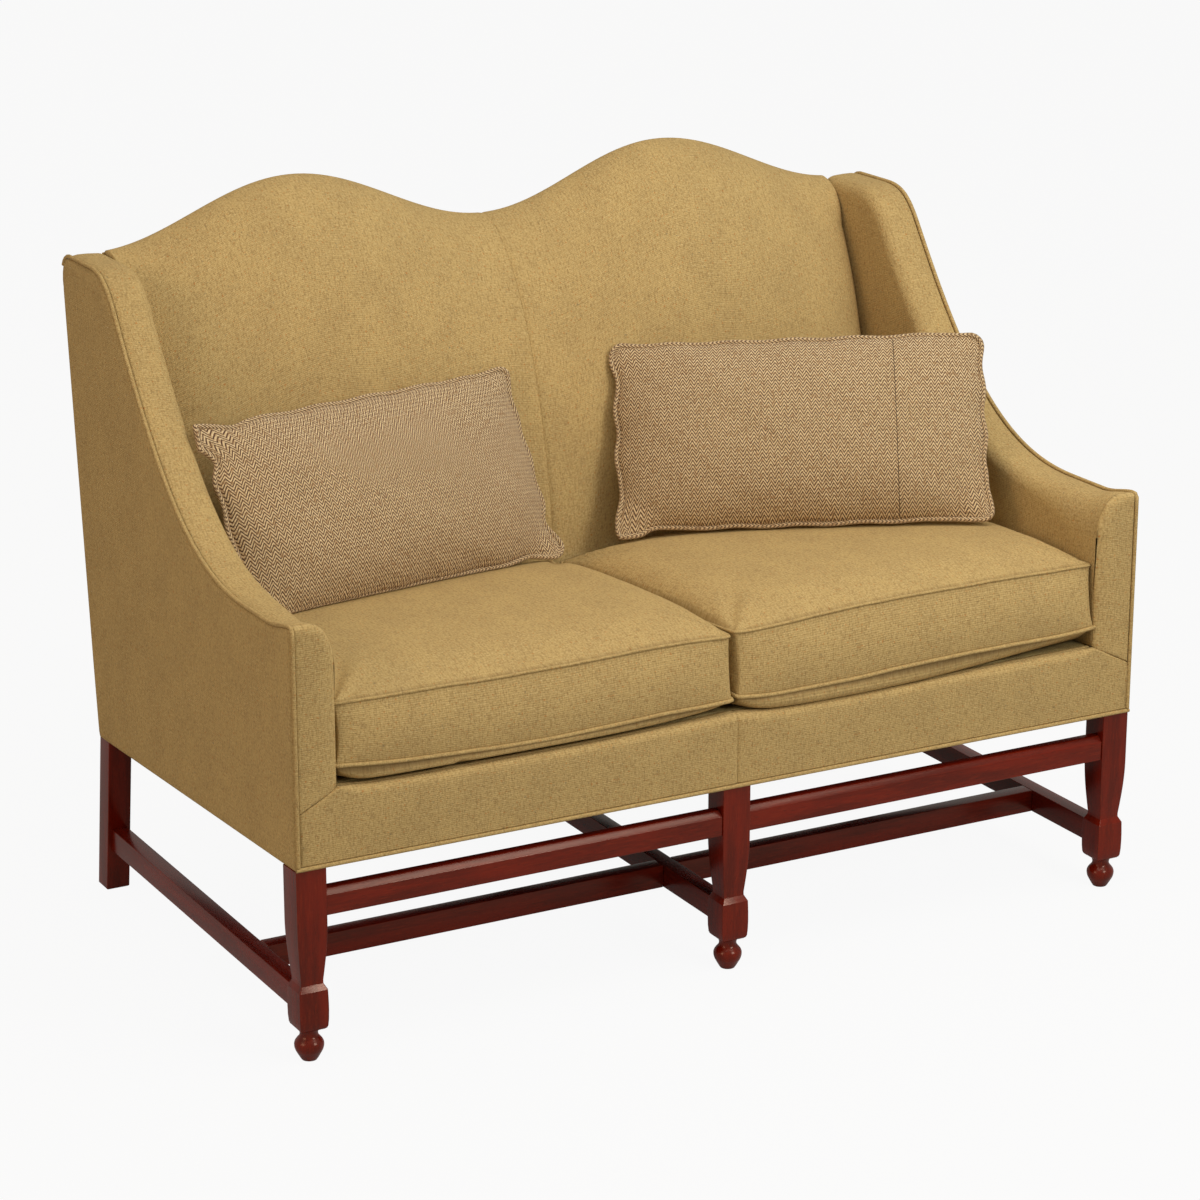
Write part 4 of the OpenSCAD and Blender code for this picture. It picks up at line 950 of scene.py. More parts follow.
def new_geometry_tree(name: str, inputs: dict[str, float]) -> tuple[Tree, bpy.types.NodeOutputs]:
    """Starts a Geometry Nodes tree with a geometry input, float inputs and a material input.

    Args:
        name: the tree's name.
        inputs: each size with its default.

    Returns:
        The tree and its inputs' sockets.
    """
    tree = bpy.data.node_groups.new(name, "GeometryNodeTree")
    add = tree.interface.new_socket
    add("Geometry", in_out="INPUT", socket_type="NodeSocketGeometry")
    for key, value in inputs.items():
        add(key, in_out="INPUT", socket_type="NodeSocketFloat").default_value = value
    add("Finish", in_out="INPUT", socket_type="NodeSocketMaterial")
    add("Geometry", in_out="OUTPUT", socket_type="NodeSocketGeometry")
    return tree, add_node(tree, "NodeGroupInput").outputs


def end_geometry_tree(tree: Tree, made: Socket, finish: Socket) -> Tree:
    """Ends a tree in Realize Instances, smooth shading and Set Material."""
    real = put(tree, "GeometryNodeRealizeInstances", {"Geometry": made})
    smooth = put(tree, "GeometryNodeSetShadeSmooth", {"Geometry": real})
    dressed = put(tree, "GeometryNodeSetMaterial", {"Geometry": smooth, "Material": finish})
    add_node(tree, "NodeGroupOutput", {"Geometry": dressed})
    return tree


def swept(tree: Tree, curve: Socket, sides: Socket | int, radius: Socket) -> Socket:
    """A round rod along a curve, closed at its ends."""
    ring = put(tree, "GeometryNodeCurvePrimitiveCircle", {"Resolution": sides, "Radius": radius})
    return put(tree, "GeometryNodeCurveToMesh", {"Curve": curve, "Profile Curve": ring,
                                                 "Fill Caps": True})


def cord_tree() -> Tree:
    """A tree that wraps a round, slightly uneven cord about a line."""
    sizes = {"Radius": 0.003, "Unevenness": 0.05, "Sides": 10.0}
    tree, entry = new_geometry_tree("covered_cord", sizes)
    line = put(tree, "GeometryNodeMeshToCurve", {"Mesh": entry["Geometry"]})
    swell = put(tree, "ShaderNodeTexNoise", {"Scale": 45.0, "Detail": 2.0})
    swing = arithmetic(tree, "SUBTRACT", swell, 0.5)
    thick = arithmetic(tree, "ADD", arithmetic(tree, "MULTIPLY", swing, entry["Unevenness"]), 1.0)
    fat = put(tree, "GeometryNodeSetCurveRadius", {"Curve": line, "Radius": thick})
    return end_geometry_tree(tree, swept(tree, fat, entry["Sides"], entry["Radius"]),
                             entry["Finish"])


def row_tree() -> Tree:
    """A tree that sets a small straight wire across a line at even steps."""
    sizes = {"Step": 0.002, "Length": 0.003, "Thickness": 0.001}
    tree, entry = new_geometry_tree("row_of_parts", sizes)
    line = put(tree, "GeometryNodeMeshToCurve", {"Mesh": entry["Geometry"]})
    points = add_node(tree, "GeometryNodeCurveToPoints", {"Curve": line, "Length": entry["Step"]},
                      mode="LENGTH").outputs
    halves = (arithmetic(tree, "MULTIPLY", entry["Length"], k) for k in (-0.5, 0.5))
    left, right = (put(tree, "ShaderNodeCombineXYZ", {"X": half}) for half in halves)
    wire = put(tree, "GeometryNodeCurveQuadraticBezier", {
        "Resolution": 4, "Start": left, "Middle": (0.0, 0.0, 0.0), "End": right})
    copies = put(tree, "GeometryNodeInstanceOnPoints", {
        "Points": points["Points"], "Instance": swept(tree, wire, 6, entry["Thickness"]),
        "Rotation": points["Rotation"]})
    return end_geometry_tree(tree, copies, entry["Finish"])


class PathMaker:
    """Runs the Geometry Nodes trees along lines and turns what they make into plain meshes."""

    def __init__(self) -> None:
        """Builds both trees."""
        self.cords, self.rows = cord_tree(), row_tree()

    def run(self, tree: Tree, name: str, line: Array, loop: bool, finish: Material,
            **sizes: float) -> Mesh:
        """Runs a tree along a line.

        Args:
            tree: the tree.
            name: the mesh's name.
            line: the line's points in mm.
            loop: whether its ends meet.
            finish: the material.
            sizes: the tree's inputs by name.

        Returns:
            The plain mesh.
        """
        count = len(line)
        edges = [(i, i + 1) for i in range(count - 1)] + ([(count - 1, 0)] if loop else [])
        guide = bpy.data.meshes.new(name + "_line")
        guide.from_pydata((line * MM).tolist(), edges, [])
        carrier = placed_in_scene(bpy.data.objects.new(name + "_line", guide))
        modifier = carrier.modifiers.new("along", "NODES")
        modifier.node_group = tree
        for item in tree.interface.items_tree:
            if item.in_out == "INPUT" and item.name != "Geometry":
                modifier[item.identifier] = finish if item.name == "Finish" else sizes[item.name]
        graph = bpy.context.evaluated_depsgraph_get()
        graph.update()
        mesh = bpy.data.meshes.new_from_object(carrier.evaluated_get(graph))
        carrier.modifiers.remove(modifier)
        bpy.data.objects.remove(carrier)
        mesh.name = name
        return mesh

    def row(self, name: str, line: Array, finish: Material, step: float, length: float,
            thick: float) -> Object:
        """Small wires across a line at even steps, with all sizes in mm."""
        mesh = self.run(self.rows, name, line, False, finish, Step=step * MM, Length=length * MM,
                        Thickness=thick * MM)
        return finished(name, mesh, finish)

    def welt(self, name: str, line: Array, finish: Material, radius: float, loop: bool = False,
             sides: int = 10, uneven: float = 0.12) -> Object:
        """A covered cord along a line, with its cloth places measured round and along it.

        Args:
            name: the piece's name.
            line: the line's points in mm.
            finish: the cloth.
            radius: the cord's radius in mm.
            loop: whether the ends meet.
            sides: faces round the cord.
            uneven: how much its thickness varies.

        Returns:
            The piece.
        """
        mesh = self.run(self.cords, name, line, loop, finish, Radius=radius * MM,
                        Unevenness=uneven, Sides=float(sides))
        layer = mesh.uv_layers[0] if mesh.uv_layers else mesh.uv_layers.new(name="weave")
        layer.name = "weave"
        around = 2 * math.pi * radius * MM / sides
        along = run_length(closed(line) if loop else line) * MM
        for face in mesh.polygons:
            spots = [mesh.loops[k].vertex_index for k in face.loop_indices]
            if len(spots) == 4:
                row, col = [s // sides for s in spots], [s % sides for s in spots]
                for k, r, c in zip(face.loop_indices, row, col):
                    c = sides if c == 0 and max(col) == sides - 1 else c
                    r = len(line) if loop and r == 0 and max(row) == len(line) - 1 else r
                    layer.data[k].uv = (c * around, along[min(r, len(along) - 1)])
        return finished(name, mesh, finish)


def inflate(points: Array, faces: list[tuple[int, ...]], held: Array, pressure: float,
            frames: int, bending: float, cap: float) -> Array:
    """Blows up a closed cloth skin with Blender's cloth simulation.

    Args:
        points: its points in mm.
        faces: its faces, facing outwards.
        held: numbers of the points that are held still.
        pressure: the pressure inside.
        frames: how many frames it runs.
        bending: stiffness against bending.
        cap: the most that a point may move, in mm.

    Returns:
        The points afterwards, in mm.
    """
    scene = bpy.context.scene
    mesh = bpy.data.meshes.new("trial")
    mesh.from_pydata((points * MM).tolist(), [], faces)
    trial = placed_in_scene(bpy.data.objects.new("trial", mesh))
    trial.vertex_groups.new(name="held").add(np.unique(held).tolist(), 1.0, "REPLACE")
    cloth = trial.modifiers.new("cloth", "CLOTH")
    work = cloth.settings
    work.quality = 6
    work.mass = 0.3
    work.use_pressure = True
    work.uniform_pressure_force = pressure
    work.vertex_group_mass = "held"
    work.bending_stiffness = bending
    work.effector_weights.gravity = 0
    cloth.point_cache.frame_start = 1
    cloth.point_cache.frame_end = frames
    for at in range(1, frames + 1):
        scene.frame_set(at)
    shaped = trial.evaluated_get(bpy.context.evaluated_depsgraph_get())
    found = np.empty(len(points) * 3, np.float32)
    shaped.to_mesh().vertices.foreach_get("co", found)
    shaped.to_mesh_clear()
    bpy.data.objects.remove(trial)
    bpy.data.meshes.remove(mesh)
    scene.frame_set(1)
    move = found.reshape(-1, 3).astype(float) / MM - points
    far = np.linalg.norm(move, axis=1)
    return points + move * (np.minimum(far, cap) / np.maximum(far, 1e-9))[:, None]


# ---------------------------------------------------------------- fixed upholstery


@dataclass(frozen=True)
class InsideBack:
    """The two halves of the back's cover and padding, rolled over the top, with a seam between."""

    seam_depth: float = 2.6
    seam_w: float = 4.0
    hump_gap: float = 0.9
    cap: float = 22.0
    foot_in: float = 14.0
    unevenness: float = 0.9

    def section(self, x: float) -> Array:
        """Outline of the padding at a distance from the middle, from the rear edge round."""
        c = CARCASS
        dip = self.seam_depth * math.exp(-(x / self.seam_w) ** 2)
        top = float(c.back_h(x)) - dip * 0.4
        foot = float(c.deck_h(c.y_rear - c.back_t + self.foot_in)) + c.gap
        rear_foot = float(c.deck_h(c.y_rear - c.pad_rear)) + c.gap
        turn = np.radians(np.linspace(90, 8, 9))
        z = top - c.crest_drop * (1 - np.cos(turn))
        roll = xyz(c.rear_y(z) - c.skin - (c.crest - c.skin) * (1 - np.sin(turn)), z)
        share = np.append(np.linspace(0, 0.28, 18)[:-1], np.linspace(0.28, 1, 46))
        z = top - (top - foot) * share ** 1.7
        y = c.inside_y(x, z) + dip * np.minimum(1, share * 6)
        calm = np.sin(np.pi * share) ** 0.5
        y = y + self.unevenness * calm * hand_soft(xyz(x, y, z), 310.0, 0.6)
        rail = top - self.cap + self.hump_gap
        hidden = [(c.rear_y(rear_foot) - c.pad_rear / math.cos(c.rake), rear_foot),
                  c.behind(c.pad_rear, rail), c.behind(c.skin, rail)]
        return xyz(x, *np.concatenate([roll, xyz(y, z), hidden]).T)

    def stations(self) -> Array:
        """Distances from the middle, close together at the seam and at the fall by the wing."""
        c = CARCASS
        flat_end = c.arm_x - 2 - c.back_fall_w
        near = [0.15, 1.0, 2.0, 3.2, 5.0, 7.5, 11.0]
        fall = flat_end + c.back_fall_w * np.sin(np.linspace(0, math.pi / 2, 16)[1:])
        return np.concatenate([near, np.linspace(20, flat_end, 40), fall])

    def build(self, finishes: Finishes) -> None:
        """Makes both halves."""
        xs = self.stations()
        rings = np.stack([self.section(x) for x in xs])
        along = ring_lengths(rings[..., 1:])
        along[:, -1] = along[:, -2] + 10
        places = xyz(xs[:, None], -along) * MM
        for side in Side:
            skin = Skin()
            # The left half's cloth is cut elsewhere from the roll, so its streaks differ
            skin.loft(side.mirror(rings),
                      places * [side.value, 1] + [0.9 * (side is Side.LEFT), 0])
            obj = skin.piece(f"inside_back_cover_{side.word}", finishes.wool)
            settle(obj, "frame", "sofa_wool", f"inside_back_{side.word}", fill=0.9)


@dataclass(frozen=True)
class SideCovers:
    """Everything on one arm and wing: padding, arm front, outside cover and welt."""

    inner_pad: float = 14.0
    seam_roll: float = 3.0
    edge_w: float = 38.0
    edge_drop: float = 62.0
    edge_reach: float = 120.0
    band_at: tuple[float, ...] = (9.5, 18.0, 32.0)

    def padding(self, side: Side, finish: Material) -> Object:
        """The inside cover, rolled over the arm and wing."""
        c = CARCASS
        y0 = c.y_front + c.front_pad + 0.06
        top, switch = c.side_line(y0, True)
        plain, _ = c.side_line(y0, False)
        under = plain - self.inner_pad * normals_2d(plain)
        normal = normals_2d(top)
        normal[0] = [0, 1]
        y_end = c.rear_y(c.deck_h(c.y_rear)) - (c.pad_rear + 1) / math.cos(c.rake)
        outer, middle, inner = (c.half_w - depth for depth in self.band_at)
        puff = np.array([-1.6, 0.0, 1.3, 1.1])
        turn = np.radians(np.linspace(0, 90, 11))
        share = np.linspace(0, 1, 13)[1:, None]
        rings = []
        for i, (p, m) in enumerate(zip(top, normal)):
            near = math.exp(-((p[0] - y0) / self.edge_reach) ** 2)
            wide, drop = (c.edge_r + (full - c.edge_r) * near
                          for full in (self.edge_w, self.edge_drop))
            band_x = np.array([c.trim_x, outer, middle, max(inner, c.arm_x + wide + 3)])
            foot_y = y0 + (p[0] - y0) * (y_end - y0) / (top[switch][0] - y0)
            foot = np.array([foot_y, c.deck_h(foot_y) + c.gap])
            foot = foot if i <= switch else p - (drop + 1) * m
            off = drop * (1 - np.cos(turn))
            low = p - drop * m
            rings.append(np.concatenate([
                xyz(band_x, p[0] + puff * m[0], p[1] + puff * m[1]),
                xyz(c.arm_x + wide * (1 - np.sin(turn)), p[0] - off * m[0], p[1] - off * m[1]),
                xyz(c.arm_x, *(low + (foot - low) * share).T),
                [[c.arm_x + self.inner_pad, *foot], [c.arm_x + self.inner_pad, *under[i]],
                 [c.trim_x, *under[i]]]]))
        rings = np.array(rings)
        split = len(puff) + len(turn) - 1
        rings[:, 1:split + 1, 2] += 0.42 * hand_soft(rings[:, 1:split + 1], 260.0, 1.1)
        band_places = xyz(ring_lengths(rings), run_length(top)[:, None]) * MM
        wall_places = np.concatenate([rings, rings[:, :1]], axis=1)[..., 1:] * MM
        skin = Skin()
        skin.loft(side.mirror(rings), band_places, split, wall_places)
        return skin.piece(f"arm_padding_{side.word}", finish)

    def front(self, side: Side, finish: Material) -> Object:
        """The padded panel on the arm's front, mitred to the border."""
        c = CARCASS
        wide = c.trim_x - c.arm_x
        near = [0, 0.5, 1.5, 3, 5, 7.5, 10.5, 14]
        xs = np.concatenate([near, np.linspace(18, wide - 9, 7),
                             wide - np.array([6, 4, 2.5, 1.2, 0.4, 0])])
        steps = np.concatenate([near, np.linspace(20, 287, 30),
                                [300, 304, 307, 308.6, 309.6, 310]]) / 310
        x, share = np.meshgrid(xs, steps[::-1], indexing="ij")
        away = np.maximum(0, 1 - x / self.edge_w)
        top = c.arm_front_h - self.edge_drop * (1 - np.sqrt(1 - away ** 2))
        foot = c.front_h + c.gap + c.deck_z - c.mitre * x / c.arm_w
        z = top - (top - foot) * share
        over = np.maximum(0, 1 - (c.arm_front_h - z) / self.edge_drop)
        far = np.maximum(np.hypot(away, over), 1e-9)
        inward = np.where(away > 0, (away / far) ** 2, 0)

        def rolled(distance: Array, reach: Value, depth: Value) -> Array:
            """How far a rounded edge lies back."""
            return depth * (1 - np.sqrt(1 - np.clip(1 - distance / reach, 0, 1) ** 2))

        rim = np.where((away > 0) & (over > 0), (1 - far) * self.edge_w,
                       np.where(over > 0, c.arm_front_h - z, x))
        back = np.where(over > 0, rolled(rim, 8 + 14 * inward, 7 + 4.7 * inward),
                        rolled(x, 34, 11.7))
        back = np.maximum(back, rolled(z - foot, self.seam_roll, self.seam_roll))
        back = np.maximum(back, rolled(wide - x, 1.8, 1.8))
        calm = np.sin(np.pi * np.clip(x / wide, 0, 1)) * np.sin(np.pi * share)
        back -= calm * (1.2 + 0.7 * hand_soft(xyz(x, 0, z), 120.0, side.value))
        skin = Skin()
        skin.slab(side.mirror(xyz(c.arm_x + x, c.y_front + back, z)),
                  side.mirror(xyz(c.arm_x + x, c.y_front + c.front_pad, z)), xyz(x, z) * MM)
        return skin.piece(f"arm_front_panel_{side.word}", finish)

    def outside(self, side: Side, finish: Material) -> Object:
        """The flat outside cover, stretched from the welt to the bottom edge."""
        c = CARCASS
        line = c.welt_line()
        beside = c.welt_r + c.gap
        edge = line - beside * normals_2d(line)
        edge = edge[edge[:, 0] > c.y_front + 7]
        upper = np.concatenate([[[c.y_front + beside, edge[0, 1] - 1.5]], edge])
        corner_z = c.wing_h - c.wing_corner_r
        last_y = float(c.rear_y(corner_z - 20))
        tail = [[last_y - 0.4, corner_z - 16]]
        upper = spaced(np.concatenate([upper[upper[:, 0] < last_y - 0.8], tail]), 11.0)
        y, high = upper.T
        low = np.where(y <= c.y_rear, c.front_h - (y - c.y_front) * math.tan(c.pitch),
                       c.rear_h + (y - c.y_rear) / math.tan(c.rake) + 0.6)
        low = np.minimum(low, high - 4)
        share = np.append([0, 0.004, 0.012], np.linspace(0.03, 1, 36))
        grid = xyz(c.half_w, y[:, None], low[:, None] + (high - low)[:, None] * share)
        dip = (1.6 * np.exp(-share * 90) + 1.3 * np.exp(-(1 - share) * 26)
               + 1.6 * np.exp(-np.maximum(0, c.rear_y(grid[..., 2]) - grid[..., 1]) / 2.5))
        calm = np.sin(np.pi * share) * np.clip((grid[..., 1] - c.y_front) / 90, 0, 1)
        dip += 0.9 * calm * (0.6 + hand_soft(grid, 420.0, 0.2))
        skin = Skin()
        skin.slab(side.mirror(grid - xyz(dip, 0, 0)), side.mirror(grid - [4.0, 0, 0]),
                  grid[..., 1:] * MM)
        obj = skin.piece(f"outside_arm_cover_{side.word}", finish)
        f"arm_padding_{side.word}"
        return obj

    def build(self, finishes: Finishes, makers: PathMaker) -> None:
        """Makes both sides."""
        c = CARCASS
        line = spaced(c.welt_line(), 8.0)
        for side in Side:
            for maker, node, fill in ((self.padding, "arm_pad", 0.9),
                                      (self.front, "arm_front", 0.8),
                                      (self.outside, "outside_arm", None)):
                settle(maker(side, finishes.wool), "frame", "sofa_wool", f"{node}_{side.word}",
                       fill=fill)
            welt = makers.welt(f"arm_welting_{side.word}",
                               side.mirror(xyz(c.half_w - c.welt_r, *line.T)), finishes.wool,
                               c.welt_r)
            settle(welt, "frame", "sofa_wool", f"arm_welt_{side.word}")


@dataclass(frozen=True)
class FrontSeams:
    """How a lived-in cushion's front hangs, in mm, at places along its front from the middle.

    The belly's path runs from the lower welt down onto the border, which it presses down, and back
    under the cushion.
    """

    at: tuple[float, ...]
    upper: tuple[float, ...]
    lower: tuple[float, ...]
    ahead: tuple[float, ...]
    hang: tuple[float, ...]
    path: tuple[tuple[float, float], ...]
    fold: float
    sag: float
    press: float = 6.0
    clear: tuple[float, ...] = (0.95, 0.88, 0.78, 0.62, 0.44, 0.26, 0.1)

    def read(self, x: Array, values: tuple[float, ...]) -> Array:
        """One of the rows at any place, without corners."""
        return np.mean([np.interp(x + k, self.at, values) for k in (-18, -9, 0, 9, 18)], axis=0)


@dataclass(frozen=True)
class FrontBorder:
    """The padded cover of the front rail in two halves, and the welt along its bottom edge."""

    roll_r: float = 12.0
    arm_roll_r: float = 3.2
    rail_top: float = 92.3
    strip_front: float = 11.0
    strip_y: float = 22.3

    def section(self, x: float, pressed: float) -> Array:
        """Outline at a distance from the middle, pressed down there by the cushion."""
        c = CARCASS
        z0 = 2 * c.welt_r + c.gap
        top = c.deck_z - max(0.0, x - c.arm_x) * c.mitre / c.arm_w - pressed
        to_arm = float(ease(np.clip((x - c.arm_x + 30) / 30, 0, 1)))
        r = self.roll_r - (self.roll_r - self.arm_roll_r) * to_arm
        turn = np.radians(np.linspace(180, 90, 9))
        face = xyz(0, np.append(z0, np.linspace(z0 + 2, top - r, 16)[:-1]))
        roll = xyz(r + r * np.cos(turn), top - r + r * np.sin(turn))
        ring = np.concatenate([face, roll, [[c.front_pad + 0.2, top - 0.1], [c.front_pad, z0]]])
        ring = xyz(x, *ring.T)
        share = np.clip((ring[:, 2] - z0) / (top - z0), 0, 1)
        swell = (1.1 + 0.12 * pressed) * np.sin(np.pi * share ** 1.4) * np.clip(x / 30, 0, 1)
        seam = 1.9 * math.exp(-(x / 3.2) ** 2)
        wave = 0.8 * hand_soft(ring, 190.0, 0.9) * np.sin(np.pi * share)
        ring[:-2, 1] += (seam - swell + wave)[:-2]
        ring[:, 1] -= ring[:, 2] * math.tan(c.pitch)
        return ring

    def build(self, finishes: Finishes, makers: PathMaker, seams: dict[Side, FrontSeams]) -> None:
        """Makes both halves and the welt."""
        c = CARCASS
        xs = np.concatenate([[0.15, 1.2, 2.6, 4.5, 7.5, 12, 20], np.linspace(35, 600, 44),
                             c.arm_x - np.array([14, 8, 3, 0]),
                             np.linspace(c.arm_x + c.gap, c.trim_x, 12)])
        strip_x = np.linspace(0.15, c.arm_x - 0.4, 48)
        rail, rear = self.rail_top, self.strip_y
        for side, front in seams.items():
            pressed = front.press * front.read(xs - 0.5, front.hang) * (xs < c.arm_x - 1)
            rings = np.array([self.section(x, p) for x, p in zip(xs, pressed)])
            top = c.deck_z - 0.4 - front.press * front.read(strip_x, front.hang)
            strips = xyz(strip_x[:, None], [self.strip_front] * 2 + [rear - 3, rear, rear],
                         xyz(rail, top, top, np.maximum(top - 2.6, rail + 0.2), rail))
            skin = Skin()
            for part, x, along in (
                    (rings, xs, ring_lengths(rings[..., 1:])),
                    (strips, strip_x, np.append(run_length(strips[0][:, 1:]), 60))):
                skin.loft(side.mirror(c.from_seat(part)), xyz(x[:, None], along) * MM)
            obj = skin.piece(f"front_border_cover_{side.word}", finishes.wool)
            settle(obj, "frame", "sofa_wool", f"front_border_{side.word}", fill=0.85)
        line = c.from_seat(xyz(np.linspace(-c.half_w, c.half_w, 172), 0, c.welt_r))
        welt = makers.welt("base_welting", line, finishes.wool, c.welt_r)
        settle(welt, "frame", "sofa_wool", "base_welt")


@dataclass(frozen=True)
class OutsideBack:
    """The rear cover, stretched over the back frame up to the double hump."""

    thick: float = 4.0
    wing_rise: float = 12.0

    def build(self, finishes: Finishes) -> None:
        """Makes the cover."""
        c = CARCASS
        edge = c.half_w - c.skin - c.gap
        wing = np.append(np.linspace(c.arm_x + 3, edge - 4, 8), [edge - 1.5, edge])
        xs = np.concatenate([-wing[::-1], np.linspace(-c.arm_x - 1, c.arm_x + 1, 108), wing])
        low = c.wing_h - c.wing_corner_r + self.wing_rise
        high = np.where(np.abs(xs) > c.arm_x + 2, low, c.back_h(xs) - c.crest_drop)
        top = (high - c.rear_h) / math.cos(c.rake)
        share = np.concatenate([[0, 0.002, 0.006], np.linspace(0.02, 0.98, 52),
                                [0.992, 0.998, 1.0]])
        x, z = np.broadcast_arrays(xs[:, None], top[:, None] * share)
        border = np.minimum.reduce([z, top[:, None] - z, edge - np.abs(x)])
        outer = xyz(x, -1.5 * np.exp(-np.maximum(border, 0) / 3.0), z)
        calm = np.clip(border / 140, 0, 1)
        outer[..., 1] -= (1.1 * calm * (0.8 + hand_soft(outer, 520.0, 2.0))
                          + 1.2 * np.exp(-(x / 3.0) ** 2))
        skin = Skin()
        skin.slab(c.from_back(outer), c.from_back(xyz(x, -self.thick, z)), xyz(x, z) * MM)
        obj = skin.piece("outside_back_cover", finishes.wool)
        settle(obj, "frame", "sofa_wool", "outside_back")


# ---------------------------------------------------------------- loose cushions


@dataclass(frozen=True)
class SeatCushion:
    """A loose cushion: crowned top, drawn-in boxing and bulging underside between two welts."""

    side: Side
    belly: float
    seams: FrontSeams
    boxing: float = 92.0
    crown: float = 34.0
    sink: float = 11.0
    x0: float = 0.5
    y0: float = 1.0
    corner_r: float = 7.0
    seam_in: float = 3.2
    zip_l: float = 470.0
    zip_tall: float = 24.0
    zip_depth: float = 7.2

    @property
    def width(self) -> float:
        """Width over the welts."""
        return CARCASS.arm_x - 1 - self.x0

    @property
    def depth(self) -> float:
        """Depth over the welts."""
        return CARCASS.cushion_depth() - self.y0

    @property
    def floor(self) -> float:
        """Height of the cushion's lowest points over the seat's bottom edge."""
        return CARCASS.deck_z + CARCASS.gap

    def lines(self, size: float) -> Array:
        """Grid lines over a side of the panel, close together near both seams."""
        near = np.array([0, 2, 5, 9, 15, 22, 30, 40, 52], float)
        far = np.linspace(near[-1], size - near[-1], int((size - 2 * near[-1]) / 12.5))
        return np.concatenate([near, far[1:-1], size - near[::-1]])

    def panel(self) -> tuple[Array, Array]:
        """Panel points with rounded corners, and each one's distance from the seam."""
        w, d = self.width - 2 * self.seam_in, self.depth - 2 * self.seam_in
        x, y = np.meshgrid(self.lines(w), self.lines(d), indexing="ij")
        left, low = np.minimum(x, w - x), np.minimum(y, d - y)
        new_left, new_low = eased_corner(left, low, self.corner_r)
        flat = xyz(np.where(x < w / 2, new_left, w - new_left),
                   np.where(y < d / 2, new_low, d - new_low)) + self.seam_in
        return flat, np.minimum(left, low)

    def sunk(self, y: Array) -> Array:
        """How far the rear of the cushion is pressed down by its pillow."""
        return self.sink * (np.maximum(0, y) / (self.depth + self.y0)) ** 2

    def top_height(self, x: Array, y: Array) -> Array:
        """Height of the crowned top over the deck, at places from the cushion's corner."""
        across = np.interp(np.minimum(x, self.width - x), [0, 6, 14, 28, 60, 110, 176],
                           [0.1, 0.36, 0.6, 0.8, 0.93, 0.98, 1])
        along = np.interp(np.minimum(y, self.depth - y), [0, 14, 36, 72, 118, 176, 269],
                          [0.08, 0.25, 0.5, 0.75, 0.91, 0.985, 1])
        rise = (self.crown - 3) * (across * along)
        return self.belly + self.boxing + 3 + rise - self.sunk(y)

    def build(self, finishes: Finishes, makers: PathMaker) -> None:
        """Makes the cushion with both of its welts."""
        flat, away = self.panel()
        x, y = flat[..., 0], flat[..., 1]
        top_z = self.top_height(x, y)
        crown = top_z - (self.belly + self.boxing - self.sunk(y))
        top_z = top_z - np.where(away <= 0, crown, 0.18 * crown * np.clip(away / 30, 0, 1))
        low_z = self.belly * np.interp(away, [0, 2, 5, 9, 15, 22, 34],
                                       [1, 0.66, 0.4, 0.22, 0.1, 0.03, 0])
        skin = Skin()
        upper, lower = skin.add(xyz(x, y, top_z)), skin.add(xyz(x, y, low_z))
        skin.grid(upper, flat * MM)
        skin.grid(lower, flat * MM, back=True)
        loop_low, loop_top = rim_of(lower), rim_of(upper)
        rim = flat.reshape(-1, 2)[loop_top]
        ahead = np.roll(rim, -1, axis=0) - np.roll(rim, 1, axis=0)
        normal = xyz(ahead[:, 1], -ahead[:, 0]) / np.linalg.norm(ahead, axis=1)[:, None]
        rows = np.array([0, 4, 12, 22, 32, 34, 40, 46, 52, 58, 60, 70, 80, 88, 92], float)
        levels = []
        for z in rows[1:-1]:
            share = z / self.boxing
            draw = 2.6 * math.sin(math.pi * share) ** 0.6
            height = self.belly + z - share * self.sunk(rim[:, 1])
            levels.append(skin.add(xyz(*(rim - draw * normal).T, height)))
        stack = np.stack([loop_low, *levels, loop_top])
        places = xyz(run_length(closed(rim)), rows[:, None]) * MM
        skin.grid(np.concatenate([stack, stack[:, :1]], axis=1), places, back=True)
        points = np.concatenate(skin.points)
        resting = lower.ravel()[points[lower.ravel(), 2] < 1.0]
        points = inflate(points, skin.faces, np.concatenate([resting, loop_low, loop_top]),
                         pressure=3.2, frames=20, bending=0.6, cap=11.0)
        points = self.hung(self.finish_shape(points, stack, rows), lower, stack)
        points = points + [self.x0, self.y0, self.floor]
        points = self.side.mirror(CARCASS.from_seat(points))
        skin.points = [points]
        # Painted shade along the seams, strongest beside the welts. The top panel takes only about
        # a third of it, since the light falls from above and the shadow lies under the welts.
        seam = [away.ravel()] * 2 + [np.full(len(rim), min(z, self.boxing - z))
                                     for z in rows[1:-1]]
        crease = np.exp(-(np.concatenate(seam) / 2.6) ** 2)
        crease[:upper.size] *= 0.35
        obj = skin.piece(f"seat_cushion_cover_{self.side.word}", finishes.wool, crease=crease)
        body = f"seat_cushion_{self.side.word}"
        settle(obj, body, "sofa_wool", body, fill=0.8)
        out = self.side.mirror(xyz(*normal.T, 0))
        for level, loop, stand, radius in (("lower", loop_low, 0.9, 2.9),
                                           ("upper", loop_top, 0.5, 2.2)):
            line = points[loop] + out * stand
            line = line[np.linalg.norm(np.roll(line, -1, axis=0) - line, axis=1) > 1.2]
            welt = makers.welt(f"cushion_welt_{level}_{self.side.word}",
                               spaced(closed(line), 7.0)[:-1], finishes.wool, radius, loop=True)
            settle(welt, body, "sofa_wool")

